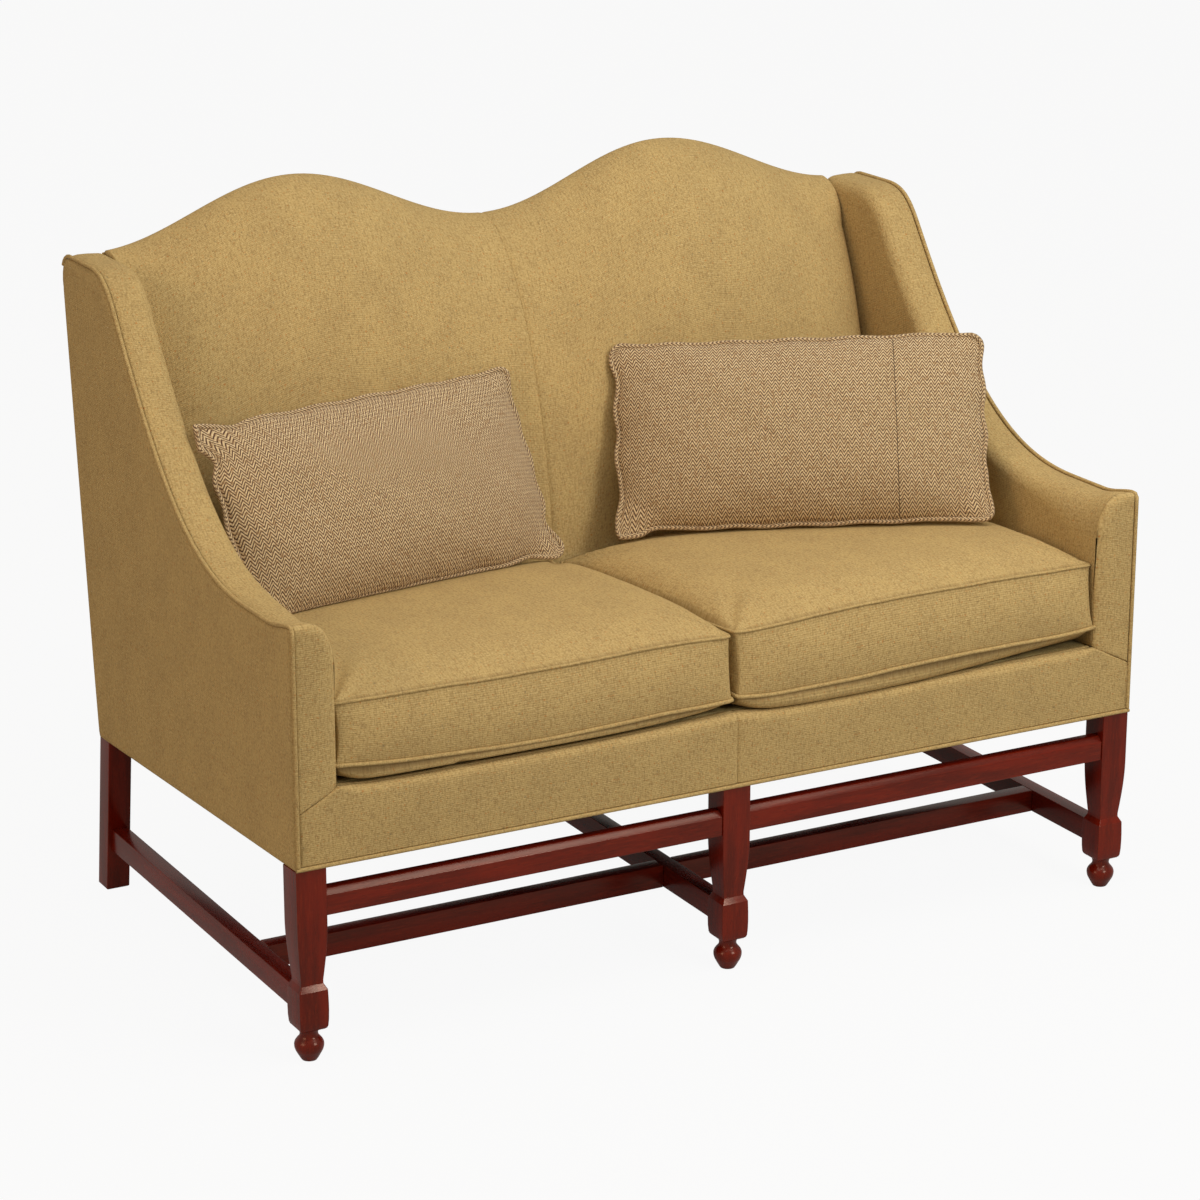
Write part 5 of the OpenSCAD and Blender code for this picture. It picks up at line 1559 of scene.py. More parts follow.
    def finish_shape(self, points: Array, stack: Array, rows: Array) -> Array:
        """Puckers the seams, keeps the cushion in its room and presses the zip's slot in."""
        p = points.copy()
        p[:, 2] += 0.8 * hand_soft(p, 170.0, 1.7 + self.side.value) * np.clip(p[:, 2] / 40, 0, 1)
        front = 5 * np.exp(-np.maximum(p[:, 1], 0) / 60)
        p[:, 2] = np.minimum(p[:, 2], self.top_height(p[:, 0], p[:, 1]) + front)
        p[:, 2] = np.maximum(p[:, 2], 0)
        p[:, 0] = np.clip(p[:, 0], 0.2, self.width - 0.2)
        p[:, 1] = np.clip(p[:, 1], -7.0, self.depth - 0.4)
        slot = stack[np.abs(rows - self.boxing / 2) <= self.zip_tall / 2 + 0.1].ravel()
        from_middle = np.abs(p[slot, 0] - self.width / 2)
        slot = slot[(p[slot, 1] > self.depth - 12) & (from_middle < self.zip_l / 2 + 4)]
        p[slot, 1] = self.depth - self.zip_depth
        return p

    def hung(self, points: Array, lower: Array, stack: Array) -> Array:
        """Lets the front seams wander and the belly hang over the border, as they do in use.

        Args:
            points: the cushion's points.
            lower: numbers of the underside's points, across and front to rear.
            stack: numbers of the boxing's points, from the lower seam up.

        Returns:
            The points moved.
        """
        seams, inner = self.seams, lower[1:-1, 1:-1]
        p = points.copy()
        x, y = points[:, 0], np.maximum(0, points[:, 1])
        share = np.clip((points[:, 2] - self.belly) / self.boxing, 0, 1)
        share[lower] = share[stack[0]] = 0
        low = seams.read(x, seams.lower) - self.belly
        high = seams.read(x, seams.upper)
        rise = (low * (1 - share) + high * share) * np.exp(-y / 120)
        rise -= seams.sag * share * np.exp(-np.maximum(0, x) / 70) * (1 - np.exp(-y / 90))
        rise[inner] *= np.clip(points[inner, 2] / self.belly, 0, 1)
        p[:, 2] += rise
        lean = seams.read(x, seams.ahead) * (1 - share) - 5.0 * share + 4.0 * np.sin(np.pi * share)
        p[:, 1] -= lean * np.exp(-y / 22)
        to_corner = np.maximum(0, y - 4) / 5 + np.maximum(0, self.width - x) / 16
        p[:, 0] += (6.0 + 6.0 * (1 - share)) * np.exp(-to_corner)
        seam_z = seams.read(x[lower[1:-1, 0]], seams.lower)
        for j, ((path_y, path_z), clear) in enumerate(zip(seams.path, seams.clear), start=1):
            line = lower[1:-1, j]
            hang = seams.read(x[line], seams.hang)
            lain = np.maximum(p[line, 2], 0)
            p[line, 2] = lain + (seam_z * clear - lain) * (1 - hang)
            dent = np.exp(-((x[line] - seams.fold) / 7.0) ** 2) * (j < 5)
            p[line, 1] += (path_y + 3.5 * dent - p[line, 1]) * hang
            p[line, 2] += (path_z + 2.5 * dent - p[line, 2]) * hang
        return p


@dataclass(frozen=True)
class CushionZip:
    """The zip in a cushion's rear boxing: tape, teeth and a slider with its pull."""

    cushion: SeatCushion
    tape_t: float = 1.2
    tape_y: float = -6.7
    teeth_y: float = -5.0
    softened: float = 0.35

    def placed(self, points: Array) -> Array:
        """Points measured from the zip's start in the boxing, in place."""
        q = self.cushion
        shift = [q.x0 + q.width / 2 - q.zip_l / 2, q.y0 + q.depth, q.floor + q.belly + q.boxing / 2]
        return q.side.mirror(CARCASS.from_seat(points + shift))

    def plate(self, skin: Skin, outline: Array, y0: float, y1: float) -> None:
        """Adds a flat part with softened edges, from one depth to another."""
        soft = self.softened
        rings = [xyz(inset(outline, depth)[:, 0], y, inset(outline, depth)[:, 1])
                 for depth, y in ((soft, y0), (0.0, y0 + soft), (0.0, y1 - soft), (soft, y1))]
        rings = self.placed(np.array(rings))
        if self.cushion.side is Side.RIGHT:
            rings = rings[::-1]
        skin.loft(rings, np.concatenate([rings, rings[:, :1]], axis=1)[..., [0, 2]] * MM)

    def build(self, finishes: Finishes, makers: PathMaker) -> None:
        """Makes the tape, the teeth and the slider."""
        q, word = self.cushion, self.cushion.side.word
        body, half = f"seat_cushion_{word}", q.zip_tall / 2
        x, z = np.meshgrid(np.linspace(0, q.zip_l, 96), np.linspace(-half, half, 9),
                           indexing="ij")
        ripple = 0.15 * np.sin(x / 9) * (np.abs(z) > 4)
        skin = Skin()
        skin.slab(self.placed(xyz(x, self.tape_y + self.tape_t + ripple, z)),
                  self.placed(xyz(x, self.tape_y, z)), xyz(x, z) * MM)
        tape = skin.piece(f"zip_tape_{word}", finishes.tape)
        settle(tape, body, "zip_tape", f"zip_{word}")
        line = self.placed(np.array([[2, self.teeth_y, 0], [q.zip_l - 2, self.teeth_y, 0]]))
        settle(makers.row(f"zip_teeth_{word}", line, finishes.brass, 1.9, 5.6, 0.55), body,
               "zip_brass")
        grip = Skin()
        shell = [(2, -5.4), (11, -5.4), (16, -2.6), (16, 2.6), (11, 5.4), (2, 5.4)]
        bridge = [(4, -1.6), (13, -1.6), (13, 1.6), (4, 1.6)]
        pull = [(15, -1.9), (22, -2.5), (36.6, -2.5), (36.6, 2.5), (22, 2.5), (15, 1.9)]
        for corners, radius, steps, y0, y1 in ((shell, 1.4, 3, -4.2, -2.9),
                                               (bridge, 0.7, 3, -3.0, -1.0),
                                               (pull, 1.6, 5, -3.1, -1.9)):
            self.plate(grip, rounded(corners, radius, steps), y0, y1)
        slider = grip.piece(f"zip_runner_{word}", finishes.brass, sharp=35)
        settle(slider, f"zip_slider_{word}", "zip_brass", f"zip_slider_{word}")


@dataclass(frozen=True)
class Ear:
    """A pillow's corner: where it is, how far it sticks out, its drawn-in neck, its flatness."""

    across: int
    up: int
    out: float
    rise: float
    neck: float
    flat: float


@dataclass(frozen=True)
class LumbarPillow:
    """A knife-edge pillow in tweed, welted round, leaning in the corner of the seat."""

    side: Side
    turn: float
    lean: float
    roll: float
    cushion: SeatCushion
    ears: tuple[Ear, ...]
    width: float = 570.0
    height: float = 298.0
    thick: float = 116.0
    corner_r: float = 19.0
    waist: float = 3.5
    wave: float = 2.4
    join: float = 0.52
    columns: int = 96
    rows: int = 54
    welt_r: float = 4.1

    def flat_grid(self) -> tuple[Array, Array]:
        """Places over the pillow from -1 to 1, closer at the seams."""
        lines = []
        for count, reach in ((self.columns, 0.92), (self.rows, 0.9)):
            angle = np.linspace(-1, 1, count + 1) * math.pi / 2 * reach
            lines.append(np.sin(angle) / math.sin(math.pi / 2 * reach))
        return np.meshgrid(*lines, indexing="ij")

    def domed(self, thick: float) -> Array:
        """Front and rear grids of a pillow this thick, with its corners and wavy edges."""
        a, b = self.flat_grid()
        w, h = self.width / 2 - self.welt_r, self.height / 2 - self.welt_r
        left, low = eased_corner(w * (1 - np.abs(a)), h * (1 - np.abs(b)), self.corner_r)
        x, z = np.sign(a) * (w - left), np.sign(b) * (h - low)
        half = ((1 - np.abs(x / w) ** 2.6).clip(0) ** 0.58
                * (1 - np.abs(z / h) ** 2.4).clip(0) ** 0.6)
        x = x - np.sign(a) * self.waist * (1 - (z / h) ** 4) * np.exp(-left / 70)
        z = z - np.sign(b) * self.waist * (1 - (x / w) ** 4) * np.exp(-low / 70)
        phase = 1.0 + self.side.value
        x = x + self.wave * np.sin(z / 11.5 + phase + a) * np.exp(-left / 16)
        z = z + 0.5 * self.wave * np.sin(x / 15 + phase) * np.exp(-low / 16)
        for ear in self.ears:
            side, end = w - ear.across * x, h - ear.up * z
            near = np.hypot(side, end)
            neck_x, neck_z = (part * ear.neck * np.exp(-((past - at) / soft) ** 2
                                                       - np.maximum(0, from_edge) / 20)
                              for part, past, at, soft, from_edge in (
                                  (1.0, end, 52, 19, side), (0.5, side, 56, 21, end)))
            tip = np.exp(-(near / 40) ** 4)
            x = x + ear.across * (ear.out * tip - neck_x)
            z = z + ear.up * (ear.rise * tip - neck_z)
            half = half * (1 - ear.flat * np.exp(-(near / 52) ** 2))
        return np.stack([xyz(x, way * thick / 2 * half, z) for way in (-1, 1)])

    def turned(self, p: Array) -> Array:
        """Points turned as the pillow stands."""
        (cr, cl, ct), (sr, sl, st) = ([way(math.radians(v)) for v in
                                       (self.roll, self.lean, self.turn)]
                                      for way in (math.cos, math.sin))
        x, z = p[..., 0] * cr + p[..., 2] * sr, -p[..., 0] * sr + p[..., 2] * cr
        y, z = p[..., 1] * cl - z * sl, p[..., 1] * sl + z * cl
        return xyz(x * ct - y * st, x * st + y * ct, z)

    def home(self) -> Array:
        """Where the pillow's middle lies, from its node's box in the frame."""
        low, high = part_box(f"pillow_{self.side.word}")
        middle = (np.array(low) + np.array(high)) / 2 / MM
        rim = self.turned(self.domed(self.thick).reshape(-1, 3))
        return middle - (rim.min(axis=0) + rim.max(axis=0)) / 2

    def build(self, finishes: Finishes, makers: PathMaker) -> None:
        """Makes the pillow and its welt."""
        grids = self.domed(self.thick * 0.86)
        a, b = self.flat_grid()
        skin = Skin()
        front = skin.add(grids[0])
        back = front.copy()
        back[1:-1, 1:-1] = skin.add(grids[1][1:-1, 1:-1])
        places = xyz(a * self.width / 2, b * self.height / 2) * MM
        skin.grid(front, places)
        skin.grid(back, places + [0.31, 0.17], back=True)
        points, rim = np.concatenate(skin.points), rim_of(front)
        points = inflate(points, skin.faces, rim, pressure=3.5, frames=18, bending=0.8,
                         cap=16.0)
        points[:, 1] *= self.thick / np.ptp(points[:, 1])
        soft = hand_soft(points, 190.0, 0.4 + self.side.value)
        points[:, 1] += 2.2 * soft * np.clip(np.abs(points[:, 1]) / 30, 0, 1)
        points = self.leaned(self.turned(points) + self.home(), 0.0)
        skin.points = [points]
        body = f"pillow_{self.side.word}"
        obj = skin.piece(f"pillow_cover_{self.side.word}", finishes.tweed)
        settle(obj, body, "herringbone_tweed", body, fill=0.7)
        line = spaced(closed(points[rim]), 6.0)[:-1]
        out = line - points.mean(axis=0)
        line = self.leaned(line + out / np.linalg.norm(out, axis=1)[:, None] * 2.2, self.welt_r)
        welt = makers.welt(f"pillow_welt_{self.side.word}", line, finishes.tweed, self.welt_r,
                           loop=True, uneven=0.3)
        settle(welt, body, "herringbone_tweed")
        if self.side is Side.RIGHT:
            column = int(np.argmin(np.abs(a[:, 0] - self.join)))
            line = spaced(points[front[column, 2:-2]] + [0.0, 0.05, 0.0], 3.4)
            stitched = makers.welt("pillow_join_stitches", line, finishes.thread, 0.55, sides=6,
                                   uneven=1.5)
            settle(stitched, body, "herringbone_tweed")

    def leaned(self, points: Array, away: float) -> Array:
        """Presses the pillow flat where it meets the back, the arm and the seat."""
        c, q = CARCASS, self.cushion
        p = points.copy()
        p[:, 1] = np.minimum(p[:, 1], c.inside_y(p[:, 0], p[:, 2]) - 0.9 - away)
        p[:, 0] = np.clip(p[:, 0], -c.arm_x + 0.4 + away, c.arm_x - 0.4 - away)
        x, y, z = c.to_seat(p).T
        x = x * self.side.value - q.x0
        top = q.top_height(x, y - q.y0) + q.floor + 0.5 + away
        under = (y < q.depth) & (x > 0) & (z < top)
        p[:, 2] += np.where(under, (top - z) / math.cos(c.pitch), 0)
        return p


# ---------------------------------------------------------------- show wood


def box_outline(x0: float, x1: float, z0: float, z1: float, edge: float, steps: int = 3) -> Array:
    """A rectangle with rounded corners."""
    return rounded([(x0, z0), (x1, z0), (x1, z1), (x0, z1)], edge, steps)


def square(half: float, edge: float) -> Array:
    """A square outline with rounded edges, about its middle."""
    return box_outline(-half, half, -half, half, edge, 6)


def lathe(profile: list[tuple[float, float]], sides: int, x: float, y: float) -> Array:
    """Rings of a turned part from its radii and heights."""
    a = np.linspace(0, 2 * math.pi, sides, endpoint=False)
    return np.array([xyz(x + r * np.cos(a), y + r * np.sin(a), z) for r, z in profile])


@dataclass(frozen=True)
class Bar:
    """A stretcher with softened shoulders, and its tenons.

    The section is [side, z]. Each end is its place along the bar at the floor, and its lean per mm
    of height. The tenons stick out by tip, and are tall about the height lift.
    """

    name: str
    node: str
    axis: Grain
    section: Array
    ends: tuple[tuple[float, float], tuple[float, float]]
    tip: float
    lift: float
    tall: float
    tenon: float = 9.0

    def ring(self, flat: Array, along: Value) -> Array:
        """A ring across the bar, in place."""
        parts = (along, flat[:, 0]) if self.axis is Grain.ACROSS else (flat[:, 0], along)
        return xyz(*parts, flat[:, 1])

    def build(self, finishes: Finishes) -> None:
        """Makes the stretcher."""
        near, far = (place + lean * self.section[:, 1] for place, lean in self.ends)
        small = inset(self.section, 0.8)
        rows = [self.ring(self.section, near + 0.9 + (far - near - 1.8) * s)
                for s in np.linspace(0, 1, 9)]
        skin = Skin()
        skin.loft(np.array([self.ring(small, near), *rows, self.ring(small, far)]))
        core = square(self.tenon / 2, 0.8) * [1, self.tall / self.tenon]
        core = core + [self.section[:, 0].mean(), self.lift]
        for (place, lean), way in zip(self.ends, (-1, 1)):
            root = place + lean * self.lift
            ends = [self.ring(core, root - way * 3), self.ring(core, root + way * self.tip)]
            skin.loft(np.array(ends[::way]))
        obj = skin.piece(self.name, finishes.mahogany[self.axis], sharp=20)
        settle(obj, "frame", "show_wood", self.node)


@dataclass(frozen=True)
class ShowWood:
    """Six legs and seven stretchers."""

    leg_w: float = 44.5
    waist: float = 33.0
    waist_z: float = 119.0
    taper_z: float = 206.0
    shaft_z: float = 236.0
    block_top: float = 107.0
    block_low: float = 50.0
    ball_d: float = 41.5
    ball_z: tuple[float, ...] = (0, 1.6, 5, 10, 14.6, 19, 24, 28, 32, 35, 38, 41, 44, 47.6)
    ball_in: tuple[float, ...] = (10.4, 8.8, 6.8, 4.0, 1.5, 0.2, 0, 1.5, 4.8, 7.4, 8.2, 7.9, 6.8,
                                  5.0)
    neck_d: float = 28.0
    rear_w: float = 36.5
    splay: float = 35.0
    rear_in: float = 3.0
    leg_set: float = 1.5
    peg_y: float = 26.3
    peg_r: float = 11.0
    low_z: float = 67.0
    low_h: float = 35.0
    low_t: float = 25.4
    medial_y: float = 190.0
    rail_z: float = 213.0
    rail_h: float = 37.0
    rail_t: float = 22.0
    rail_c: float = 8.0
    rail_y: float = 4.0

    @property
    def leg_x(self) -> float:
        """Distance of an outer front leg's middle from the middle."""
        return CARCASS.half_w - self.leg_w / 2

    @property
    def leg_y(self) -> float:
        """Where the front legs' middles stand."""
        return CARCASS.y_front + self.leg_set + self.leg_w / 2

    @property
    def rear_x(self) -> float:
        """Distance of an outer rear leg's middle from the middle."""
        return CARCASS.half_w - self.rear_in - self.rear_w / 2

    def splay_y(self, z: float) -> float:
        """Rear face of the rear legs."""
        return CARCASS.y_rear + self.splay * (CARCASS.rear_h - z) / CARCASS.rear_h

    def seat_under(self, y: Array) -> Array:
        """Underside of the seat frame."""
        return CARCASS.front_h - 0.4 - (y - CARCASS.y_front) * math.tan(CARCASS.pitch)

    def profile(self) -> list[tuple[float, float, float]]:
        """Half width, height and edge rounding of a front leg, from the neck up."""
        half, full = self.leg_w / 2, self.leg_w / 2 - 0.5
        narrow, low, top = self.waist / 2, self.block_low, self.block_top
        taper = [(narrow + (half - narrow) * math.sin(math.pi / 2 * t),
                  self.waist_z + (self.taper_z - self.waist_z) * t, 1.3)
                 for t in np.linspace(0, 1, 22)]
        return [(self.neck_d / 2, low - 3.5, 6.0), (full - 4.2, low - 2.6, 1.6),
                (full - 2.2, low - 0.6, 1.3), (full - 1.1, low + 2.5, 1.2),
                (full - 0.3, low + 12, 1.2), (full, low + 26, 1.2), (full - 0.1, top - 18, 1.2),
                (full - 0.6, top - 1.2, 1.2), (narrow + 0.1, top + 7.2, 1.0),
                (narrow, self.waist_z - 2.0, 1.2), *taper, (half, self.shaft_z, 1.3)]

    def front_leg(self, skin: Skin, x: float) -> None:
        """Adds a front leg: shaft, foot block, neck and ball, with its peg."""
        rings = [xyz(*square(half, edge).T, z) for half, z, edge in self.profile()]
        top = square(self.leg_w / 2, 1.3)
        rings.append(xyz(*top.T, self.seat_under(top[:, 1] + self.leg_y)))
        skin.loft(np.array(rings) + [x, self.leg_y, 0])
        z = np.linspace(0, self.ball_z[-1], 44)
        radius = self.ball_d / 2 - np.mean([np.interp(z + k, self.ball_z, self.ball_in)
                                            for k in np.linspace(-1.6, 1.6, 9)], axis=0)
        ball = [(radius[0] - 1.4, 0.0), *zip(radius, z)]
        skin.loft(lathe(ball, 40, x, self.leg_y))
        self.peg(skin, x, self.peg_y)

    def peg(self, skin: Skin, x: float, y: float) -> None:
        """Adds the round tenon on a leg, in the rail above."""
        profile = [(self.peg_r, -0.4), (self.peg_r, 37.0), (self.peg_r - 1.5, 39.5)]
        skin.loft(CARCASS.from_seat(lathe(profile, 24, x, y)))

    def rear_leg(self, skin: Skin, x: float) -> None:
        """Adds a plain rear leg that splays backwards."""
        half = self.rear_w / 2
        rings = []
        for z, h, e in ((0.0, half - 1.4, 1.4), (1.4, half, 1.6), (80, half, 1.4),
                        (160, half, 1.4), (232, half, 1.4), (CARCASS.rear_h, half, 1.4)):
            flat = square(h, e) + [x, self.splay_y(z) - half]
            rings.append(xyz(*flat.T, self.seat_under(flat[:, 1]) if z == CARCASS.rear_h else z))
        skin.loft(np.array(rings))
        self.peg(skin, x, CARCASS.seat_len - CARCASS.skin - 14.5)

    def bars(self) -> list[Bar]:
        """Every stretcher."""
        c, half, rail_top = CARCASS, self.low_t / 2, self.rail_z + self.rail_h
        low_top, y0 = self.low_z + self.low_h, c.y_front + self.rail_y
        low = (self.low_z + self.low_h / 2, self.low_h - 12)
        tall = self.rail_h - 16
        rear = (self.splay_y(0.0) - self.rear_w - 0.2, -self.splay / c.rear_h)
        found = []
        for word, k in (("side_stretcher_left", -1), ("centre_stretcher", 0),
                        ("side_stretcher_right", 1)):
            x = k * self.leg_x
            section = box_outline(x - half, x + half, self.low_z, low_top, 1.5)
            ends = ((self.leg_y + self.leg_w / 2 - 0.4, 0.0), rear)
            found.append(Bar(word + "_bar", word, Grain.DEEP, section, ends, 19.0, *low))
        medial = box_outline(c.y_front + self.medial_y, c.y_front + self.medial_y + self.low_t,
                             self.low_z, low_top, 1.5)
        front = rounded([(y0, self.rail_z), (y0 + self.rail_t, self.rail_z),
                         (y0 + self.rail_t, rail_top), (y0 + self.rail_c, rail_top),
                         (y0, rail_top - self.rail_c)], 1.2)
        for side in Side:
            for word, section, width, tip, at in (
                    ("medial", medial, half, 9.4, low),
                    ("front", front, self.leg_w / 2, 18.6, (self.rail_z + 6 + tall / 2, tall))):
                places = sorted([side.value * (width + 0.2),
                                 side.value * (self.leg_x - width - 0.2)])
                found.append(Bar(f"{word}_bar_{side.word}", f"{word}_stretcher_{side.word}",
                                 Grain.ACROSS, section, tuple((p, 0.0) for p in places), tip, *at))
        return found

    def build(self, finishes: Finishes) -> None:
        """Makes every leg and stretcher."""
        for word, k in (("left", -1), ("middle", 0), ("right", 1)):
            for row, maker, at in (("front", self.front_leg, self.leg_x),
                                   ("rear", self.rear_leg, self.rear_x)):
                skin = Skin()
                maker(skin, k * at)
                obj = skin.piece(f"{row}_leg_{word}", finishes.mahogany[Grain.UP], sharp=20)
                settle(obj, "frame", "show_wood", f"leg_{row}_{word}")
        for bar in self.bars():
            bar.build(finishes)


# ---------------------------------------------------------------- inside and under the seat


@dataclass(frozen=True)
class Underside:
    """The felt deck under the cushions, and the black dust cover with its staples."""

    post_x: float = 635.7
    deck_front: float = 22.6
    deck_t: float = 9.0
    edge: float = 14.0
    leg_room: float = 1.2
    staple_in: float = 8.0

    def deck(self, finish: Material) -> Object:
        """The felt deck, a little hollow where each cushion sits."""
        c, front = CARCASS, self.deck_front
        end = c.seat_len - c.pad_rear - 8
        ys = np.concatenate([[front, front + 2], np.linspace(front + 8, end - 2, 48), [end]])
        x, y = np.meshgrid(np.linspace(1 - self.post_x, self.post_x - 1, 97), ys, indexing="ij")
        s, t = np.abs(x) / self.post_x, (y - front) / (end - front)
        hollow = (2.4 * np.sin(np.pi * s) * np.sin(np.pi * t)
                  + 0.7 * (1 + hand_soft(xyz(x, y, 0), 130.0))
                  + 2.0 * np.exp(-np.abs(x) / 3.0) + 1.5 * np.exp(-(y - front) / 2.0))
        outer = xyz(x, y, c.deck_z - np.minimum(hollow, self.deck_t - 3))
        skin = Skin()
        skin.slab(c.from_seat(outer), c.from_seat(xyz(x, y, c.deck_z - self.deck_t)),
                  xyz(x, y) * MM)
        return skin.piece("felt_deck", finish)

    def dust_cover(self, finish: Material, wood: ShowWood) -> Object:
        """The black cloth below, cut round the legs."""
        c = CARCASS
        wide, far = c.half_w - self.edge, c.seat_len - self.edge
        front_cut = wood.leg_set + wood.leg_w + 5.0
        rear_cut = c.seat_len - wood.rear_w - 5.0
        cuts = [(k * at - half - self.leg_room, k * at + half + self.leg_room, y0, y1)
                for at, half, y0, y1 in ((wood.leg_x, wood.leg_w / 2, 0, front_cut),
                                         (wood.rear_x, wood.rear_w / 2, rear_cut, far + 9))
                for k in (-1, 0, 1)]
        marks = [v for cut in cuts for v in cut[:2] if abs(v) < wide]
        xs = np.unique(np.append(np.linspace(-wide, wide, 70), marks))
        xs = xs[np.append(True, np.diff(xs) > 0.3)]
        ys = np.unique(np.append(np.linspace(self.edge, far, 40), [front_cut, rear_cut]))
        x, y = np.meshgrid(xs, ys, indexing="ij")
        mid_x, mid_y = (xs[1:, None] + xs[:-1, None]) / 2, (ys[1:] + ys[:-1]) / 2
        keep = np.ones((len(xs) - 1, len(ys) - 1), bool)
        for x0, x1, y0, y1 in cuts:
            keep &= ~((mid_x > x0) & (mid_x < x1) & (mid_y > y0) & (mid_y < y1))
        s, t = np.abs(x) / wide, (y - self.edge) / (far - self.edge)
        sag = (5.0 * np.sin(np.pi * s) ** 2 + 1.2) * np.sin(np.pi * t) ** 0.8
        sag = sag * np.clip(np.minimum(t, 1 - t) * 6, 0, 1) * np.clip((1 - s) * 14, 0, 1)
        skin = Skin()
        skin.slab(c.from_seat(xyz(x, y, -1.5 - sag))[:, ::-1],
                  c.from_seat(xyz(x, y, -0.6 - sag))[:, ::-1], xyz(x, y)[:, ::-1] * MM,
                  keep[:, ::-1])
        obj = skin.piece("dust_cloth", finish)
        return obj

    def build(self, finishes: Finishes, makers: PathMaker, wood: ShowWood) -> None:
        """Makes the deck, the dust cover and the staples."""
        c = CARCASS
        settle(self.deck(finishes.felt), "frame", "deck_felt", "seat_deck", fill=0.4)
        settle(self.dust_cover(finishes.dust_cloth, wood), "frame", "dust_cloth", "dust_cover")
        near = self.edge + self.staple_in
        wide, far = c.half_w - near, c.seat_len - near
        runs = {"front": ((60 - wide, near), (-60, near)),
                "front_2": ((60, near), (wide - 60, near)),
                "left": ((-wide, 70), (-wide, far - 60)), "right": ((wide, 70), (wide, far - 60)),
                "rear": ((60 - wide, far), (-60, far)), "rear_2": ((60, far), (wide - 60, far))}
        for word, run in runs.items():
            line = c.from_seat(xyz(*np.array(run).T, -1.9))
            staples = makers.row(f"staples_{word}", line, finishes.zinc, 42, 10, 0.45)
            settle(staples, "frame", "plated_steel")


def dress_frame(finishes: Finishes) -> None:
    """Gives the frame's carried-over parts their finishes."""
    beech = ("seat_rail", "corner_blocks", "frame_dowels", "back_post", "back_top_rail",
             "back_lower_rail", "arm_post", "arm_rail")
    worn = {beech: finishes.beech, ("frame_screws", "spring_clips"): finishes.zinc,
            "seat_springs": finishes.spring_wire, "seat_hessian": finishes.hessian,
            "back_webbing": finishes.webbing, "cushion_core": finishes.foam}
    for name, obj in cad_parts.items():
        for words, finish in worn.items():
            if name.startswith(words) and not obj.hide_render:
                obj.data.materials.clear()
                obj.data.materials.append(finish)
                log.info("%s is finished in %s", name, finish.name)


# ---------------------------------------------------------------- studio


@dataclass(frozen=True)
class SoftLamp:
    """A soft box: where it stands, what it points at, its sides and its power."""

    name: str
    place: tuple[float, float, float]
    aim: tuple[float, float, float]
    size: tuple[float, float]
    power: float
    colour: str = "#ffffff"

    def build(self) -> None:
        """Makes the lamp."""
        data = bpy.data.lights.new(self.name, "AREA")
        data.shape = "RECTANGLE"
        data.size, data.size_y = self.size
        data.energy = self.power
        data.color = linear(self.colour)[:3]
        lamp = placed_in_scene(bpy.data.objects.new(self.name, data))
        lamp.location = self.place
        way = Vector(self.aim) - Vector(self.place)
        lamp.rotation_euler = way.to_track_quat("-Z", "Y").to_euler()


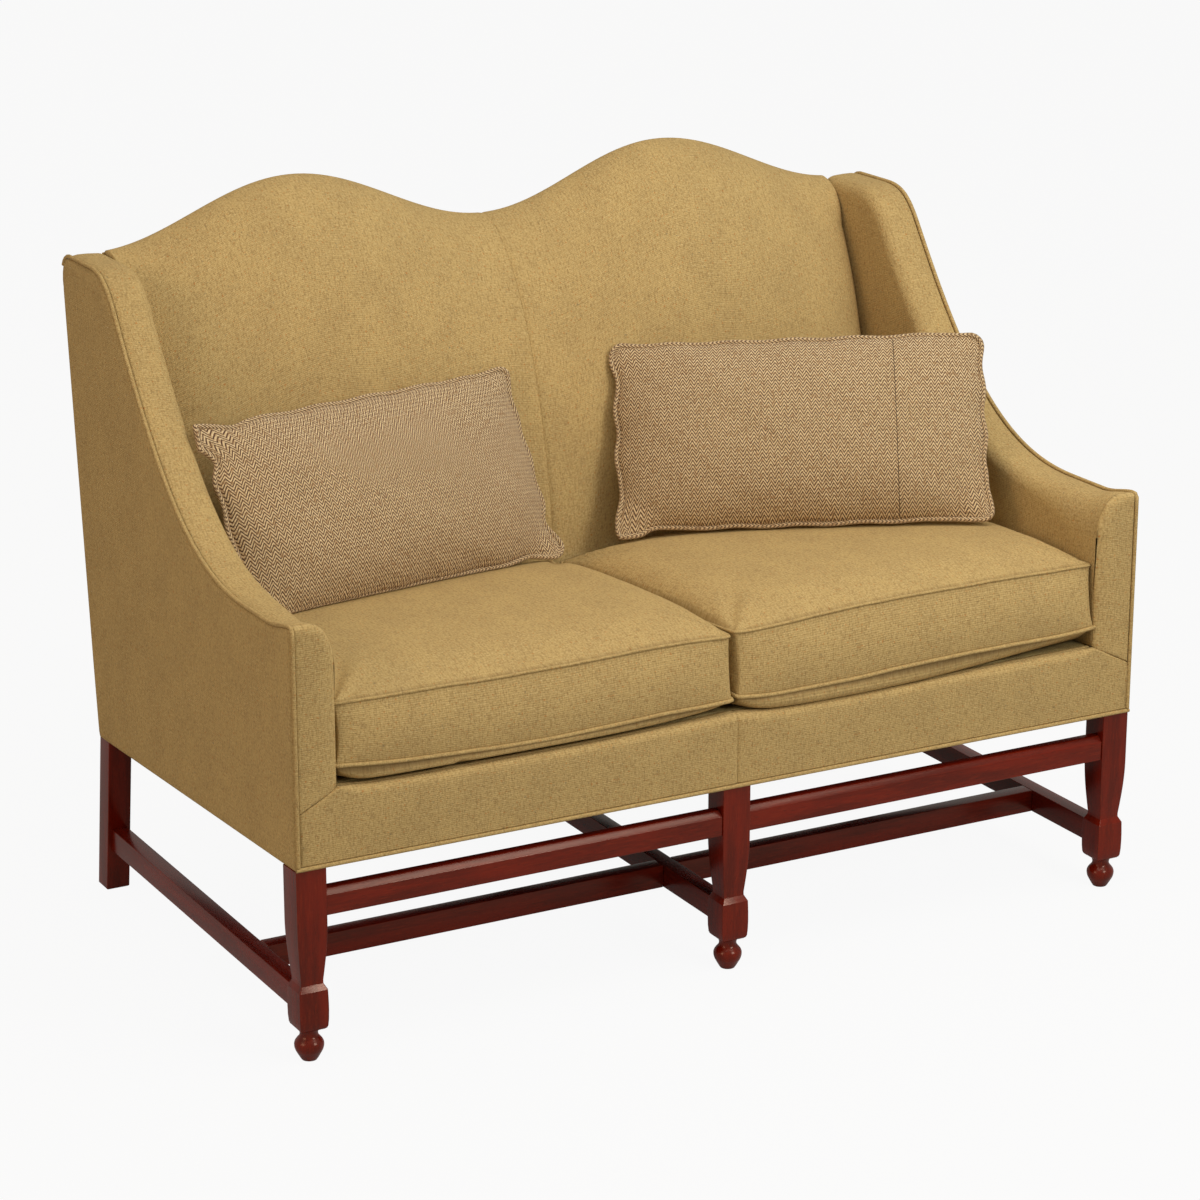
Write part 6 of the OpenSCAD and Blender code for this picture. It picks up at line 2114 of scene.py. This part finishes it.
@dataclass(frozen=True)
class Studio:
    """Pale floor, soft light and the photograph's camera."""

    ambient: float = 0.37
    floor_mix: float = 0.93
    gloss_mix: float = 0.15
    floor_reach: float = 40.0
    eye: tuple[float, float, float] = (-2.4862, -4.5485, 2.0759)
    tilt: tuple[float, float] = (72.61, -28.64)
    lens: float = 108.36
    lamps: tuple[SoftLamp, ...] = (
        SoftLamp("top_box", (-0.3, -0.9, 3.4), (0, 0, 0.4), (2.4, 2.4), 30.5),
        SoftLamp("right_box", (1.07, -1.35, 2.7), (-0.1, -0.3, 0.15), (1.7, 0.8), 22.0),
        SoftLamp("front_box", (0.96, -2.95, 1.95), (-0.5, -0.4, 0.2), (0.8, 0.8), 29.0),
        SoftLamp("left_fill", (-4.2, -1.0, 2.2), (0, 0, 0.5), (1.8, 1.8), 37.0, "#ffdfc6"))

    def seen_directly(self, tree: Tree) -> Socket:
        """1 for what the camera or glass sees, less for what a gloss sees, and 0 for light."""
        path = add_node(tree, "ShaderNodeLightPath").outputs
        gloss = arithmetic(tree, "MULTIPLY", path["Is Glossy Ray"], self.gloss_mix)
        first = arithmetic(tree, "MAXIMUM", path["Is Camera Ray"], gloss)
        return arithmetic(tree, "MAXIMUM", first, path["Is Transmission Ray"])

    def world(self) -> None:
        """A white surround that gives an even, weaker light."""
        world = bpy.data.worlds.new("studio_white")
        world.use_nodes = True
        tree = world.node_tree
        tree.nodes.clear()
        light, seen = (put(tree, "ShaderNodeBackground", {"Color": linear(colour), "Strength": k})
                       for colour, k in (("#fff8ee", self.ambient), ("#ffffff", 1.0)))
        mix = put(tree, "ShaderNodeMixShader", {0: self.seen_directly(tree), 1: light, 2: seen})
        add_node(tree, "ShaderNodeOutputWorld", {"Surface": mix})
        bpy.context.scene.world = world

    def floor(self) -> None:
        """A pale floor that keeps the object's shadow."""
        paper = Paint("paper_floor", {"Base Color": linear("#b2b0ac"), "Roughness": 0.9,
                                      "Specular IOR Level": 0.1})
        glow = paper.node("Emission", {"Color": linear("#ffffff"), "Strength": 1.0})
        part = paper.sum("MULTIPLY", self.seen_directly(paper.tree), self.floor_mix)
        mix = paper.node("MixShader", {0: part, 1: paper.shader.outputs[0], 2: glow})
        output = paper.tree.nodes["Material Output"]
        paper.tree.links.new(mix, output.inputs["Surface"])
        mesh = bpy.data.meshes.new("studio_floor")
        far = self.floor_reach
        corners = [(-far, -far, 0), (far, -far, 0), (far, far, 0), (-far, far, 0)]
        mesh.from_pydata(corners, [], [(0, 1, 2, 3)])
        mesh.materials.append(paper.material)
        placed_in_scene(bpy.data.objects.new("studio_floor", mesh))

    def camera(self) -> None:
        """The photograph's camera."""
        data = bpy.data.cameras.new("photograph")
        data.sensor_width = 36.0
        data.lens = self.lens
        camera = placed_in_scene(bpy.data.objects.new("photograph", data))
        camera.location = self.eye
        down, turn = self.tilt
        camera.rotation_euler = (math.radians(down), 0.0, math.radians(turn))
        bpy.context.scene.camera = camera

    def build(self) -> None:
        """Makes the whole studio."""
        bpy.context.scene.view_settings.view_transform = "Standard"
        self.camera()
        self.world()
        self.floor()
        for lamp in self.lamps:
            lamp.build()


LEFT_FRONT = FrontSeams(
    at=(0, 41, 122, 202, 281, 374, 450, 525, 585, 618),
    upper=(-3.7, -1.7, -0.1, -2.2, -4.2, -4.4, -3.6, -2.8, -2.8, -2.8),
    lower=(19, 17.3, 17.4, 14.6, 11.8, 13.1, 16.1, 19, 24, 28),
    ahead=(1, 2, 3, 4, 4.5, 4.5, 4, 3, 2, 1), hang=(0, 0.3, 0.65, 0.9, 1, 1, 1, 0.95, 0.8, 0),
    path=((-3.4, 9), (-4.2, 5.6), (-3, 2.8), (0.8, 1), (6, 0.2), (12, 0.1), (20, 0.2)),
    fold=430.0, sag=0.0)
RIGHT_FRONT = FrontSeams(
    at=(0, 40, 83, 124, 208, 294, 382, 470, 560, 618),
    upper=(-9.6, -11.6, -9.1, -5.8, -1.5, 0.7, 0.7, 1.5, -0.1, -0.2),
    lower=(22.3, 17.5, 17.5, 18, 20, 24.5, 26.5, 27, 27, 31.4),
    ahead=(1, 2, 4, 5, 6, 6, 5, 4, 4, 4), hang=(0, 0.75, 0.95, 1, 1, 0.85, 0.6, 0.35, 0.12, 0),
    path=((-5, 12.5), (-6.5, 7.5), (-5.5, 1.5), (-1.5, -4), (5.5, -5.7), (14, -4.2), (22, -0.2)),
    fold=-99.0, sag=15.0)


def main() -> None:
    """Builds the studio and every sub-assembly."""
    logging.basicConfig(level=logging.INFO, format="%(message)s")
    Studio().build()
    finishes, makers = Finishes(), PathMaker()
    wood = ShowWood()
    wood.build(finishes)
    InsideBack().build(finishes)
    SideCovers().build(finishes, makers)
    OutsideBack().build(finishes)
    Underside().build(finishes, makers, wood)
    FrontBorder().build(finishes, makers, {Side.LEFT: LEFT_FRONT, Side.RIGHT: RIGHT_FRONT})
    left = SeatCushion(Side.LEFT, 22.0, LEFT_FRONT)
    right = SeatCushion(Side.RIGHT, 34.0, RIGHT_FRONT)
    for pillow in (
            LumbarPillow(Side.LEFT, 13.0, -26.0, 0.6, left, (
                Ear(-1, 1, 21, 3, 13, 0.85), Ear(1, 1, 5, 4, 4, 0.5), Ear(1, -1, 10, 3, 9, 0.75),
                Ear(-1, -1, 4, 3, 3, 0.4))),
            LumbarPillow(Side.RIGHT, -32.0, -27.0, -3.0, right, (
                Ear(-1, 1, 4, 1, 2, 0.4), Ear(1, 1, -2, -4, 0, 0.3), Ear(1, -1, 8, 2, 3, 0.4),
                Ear(-1, -1, 4, 15, 7, 0.65)))):
        pillow.cushion.build(finishes, makers)
        CushionZip(pillow.cushion).build(finishes, makers)
        pillow.build(finishes, makers)
    dress_frame(finishes)


if __name__ == "__main__":
    main()
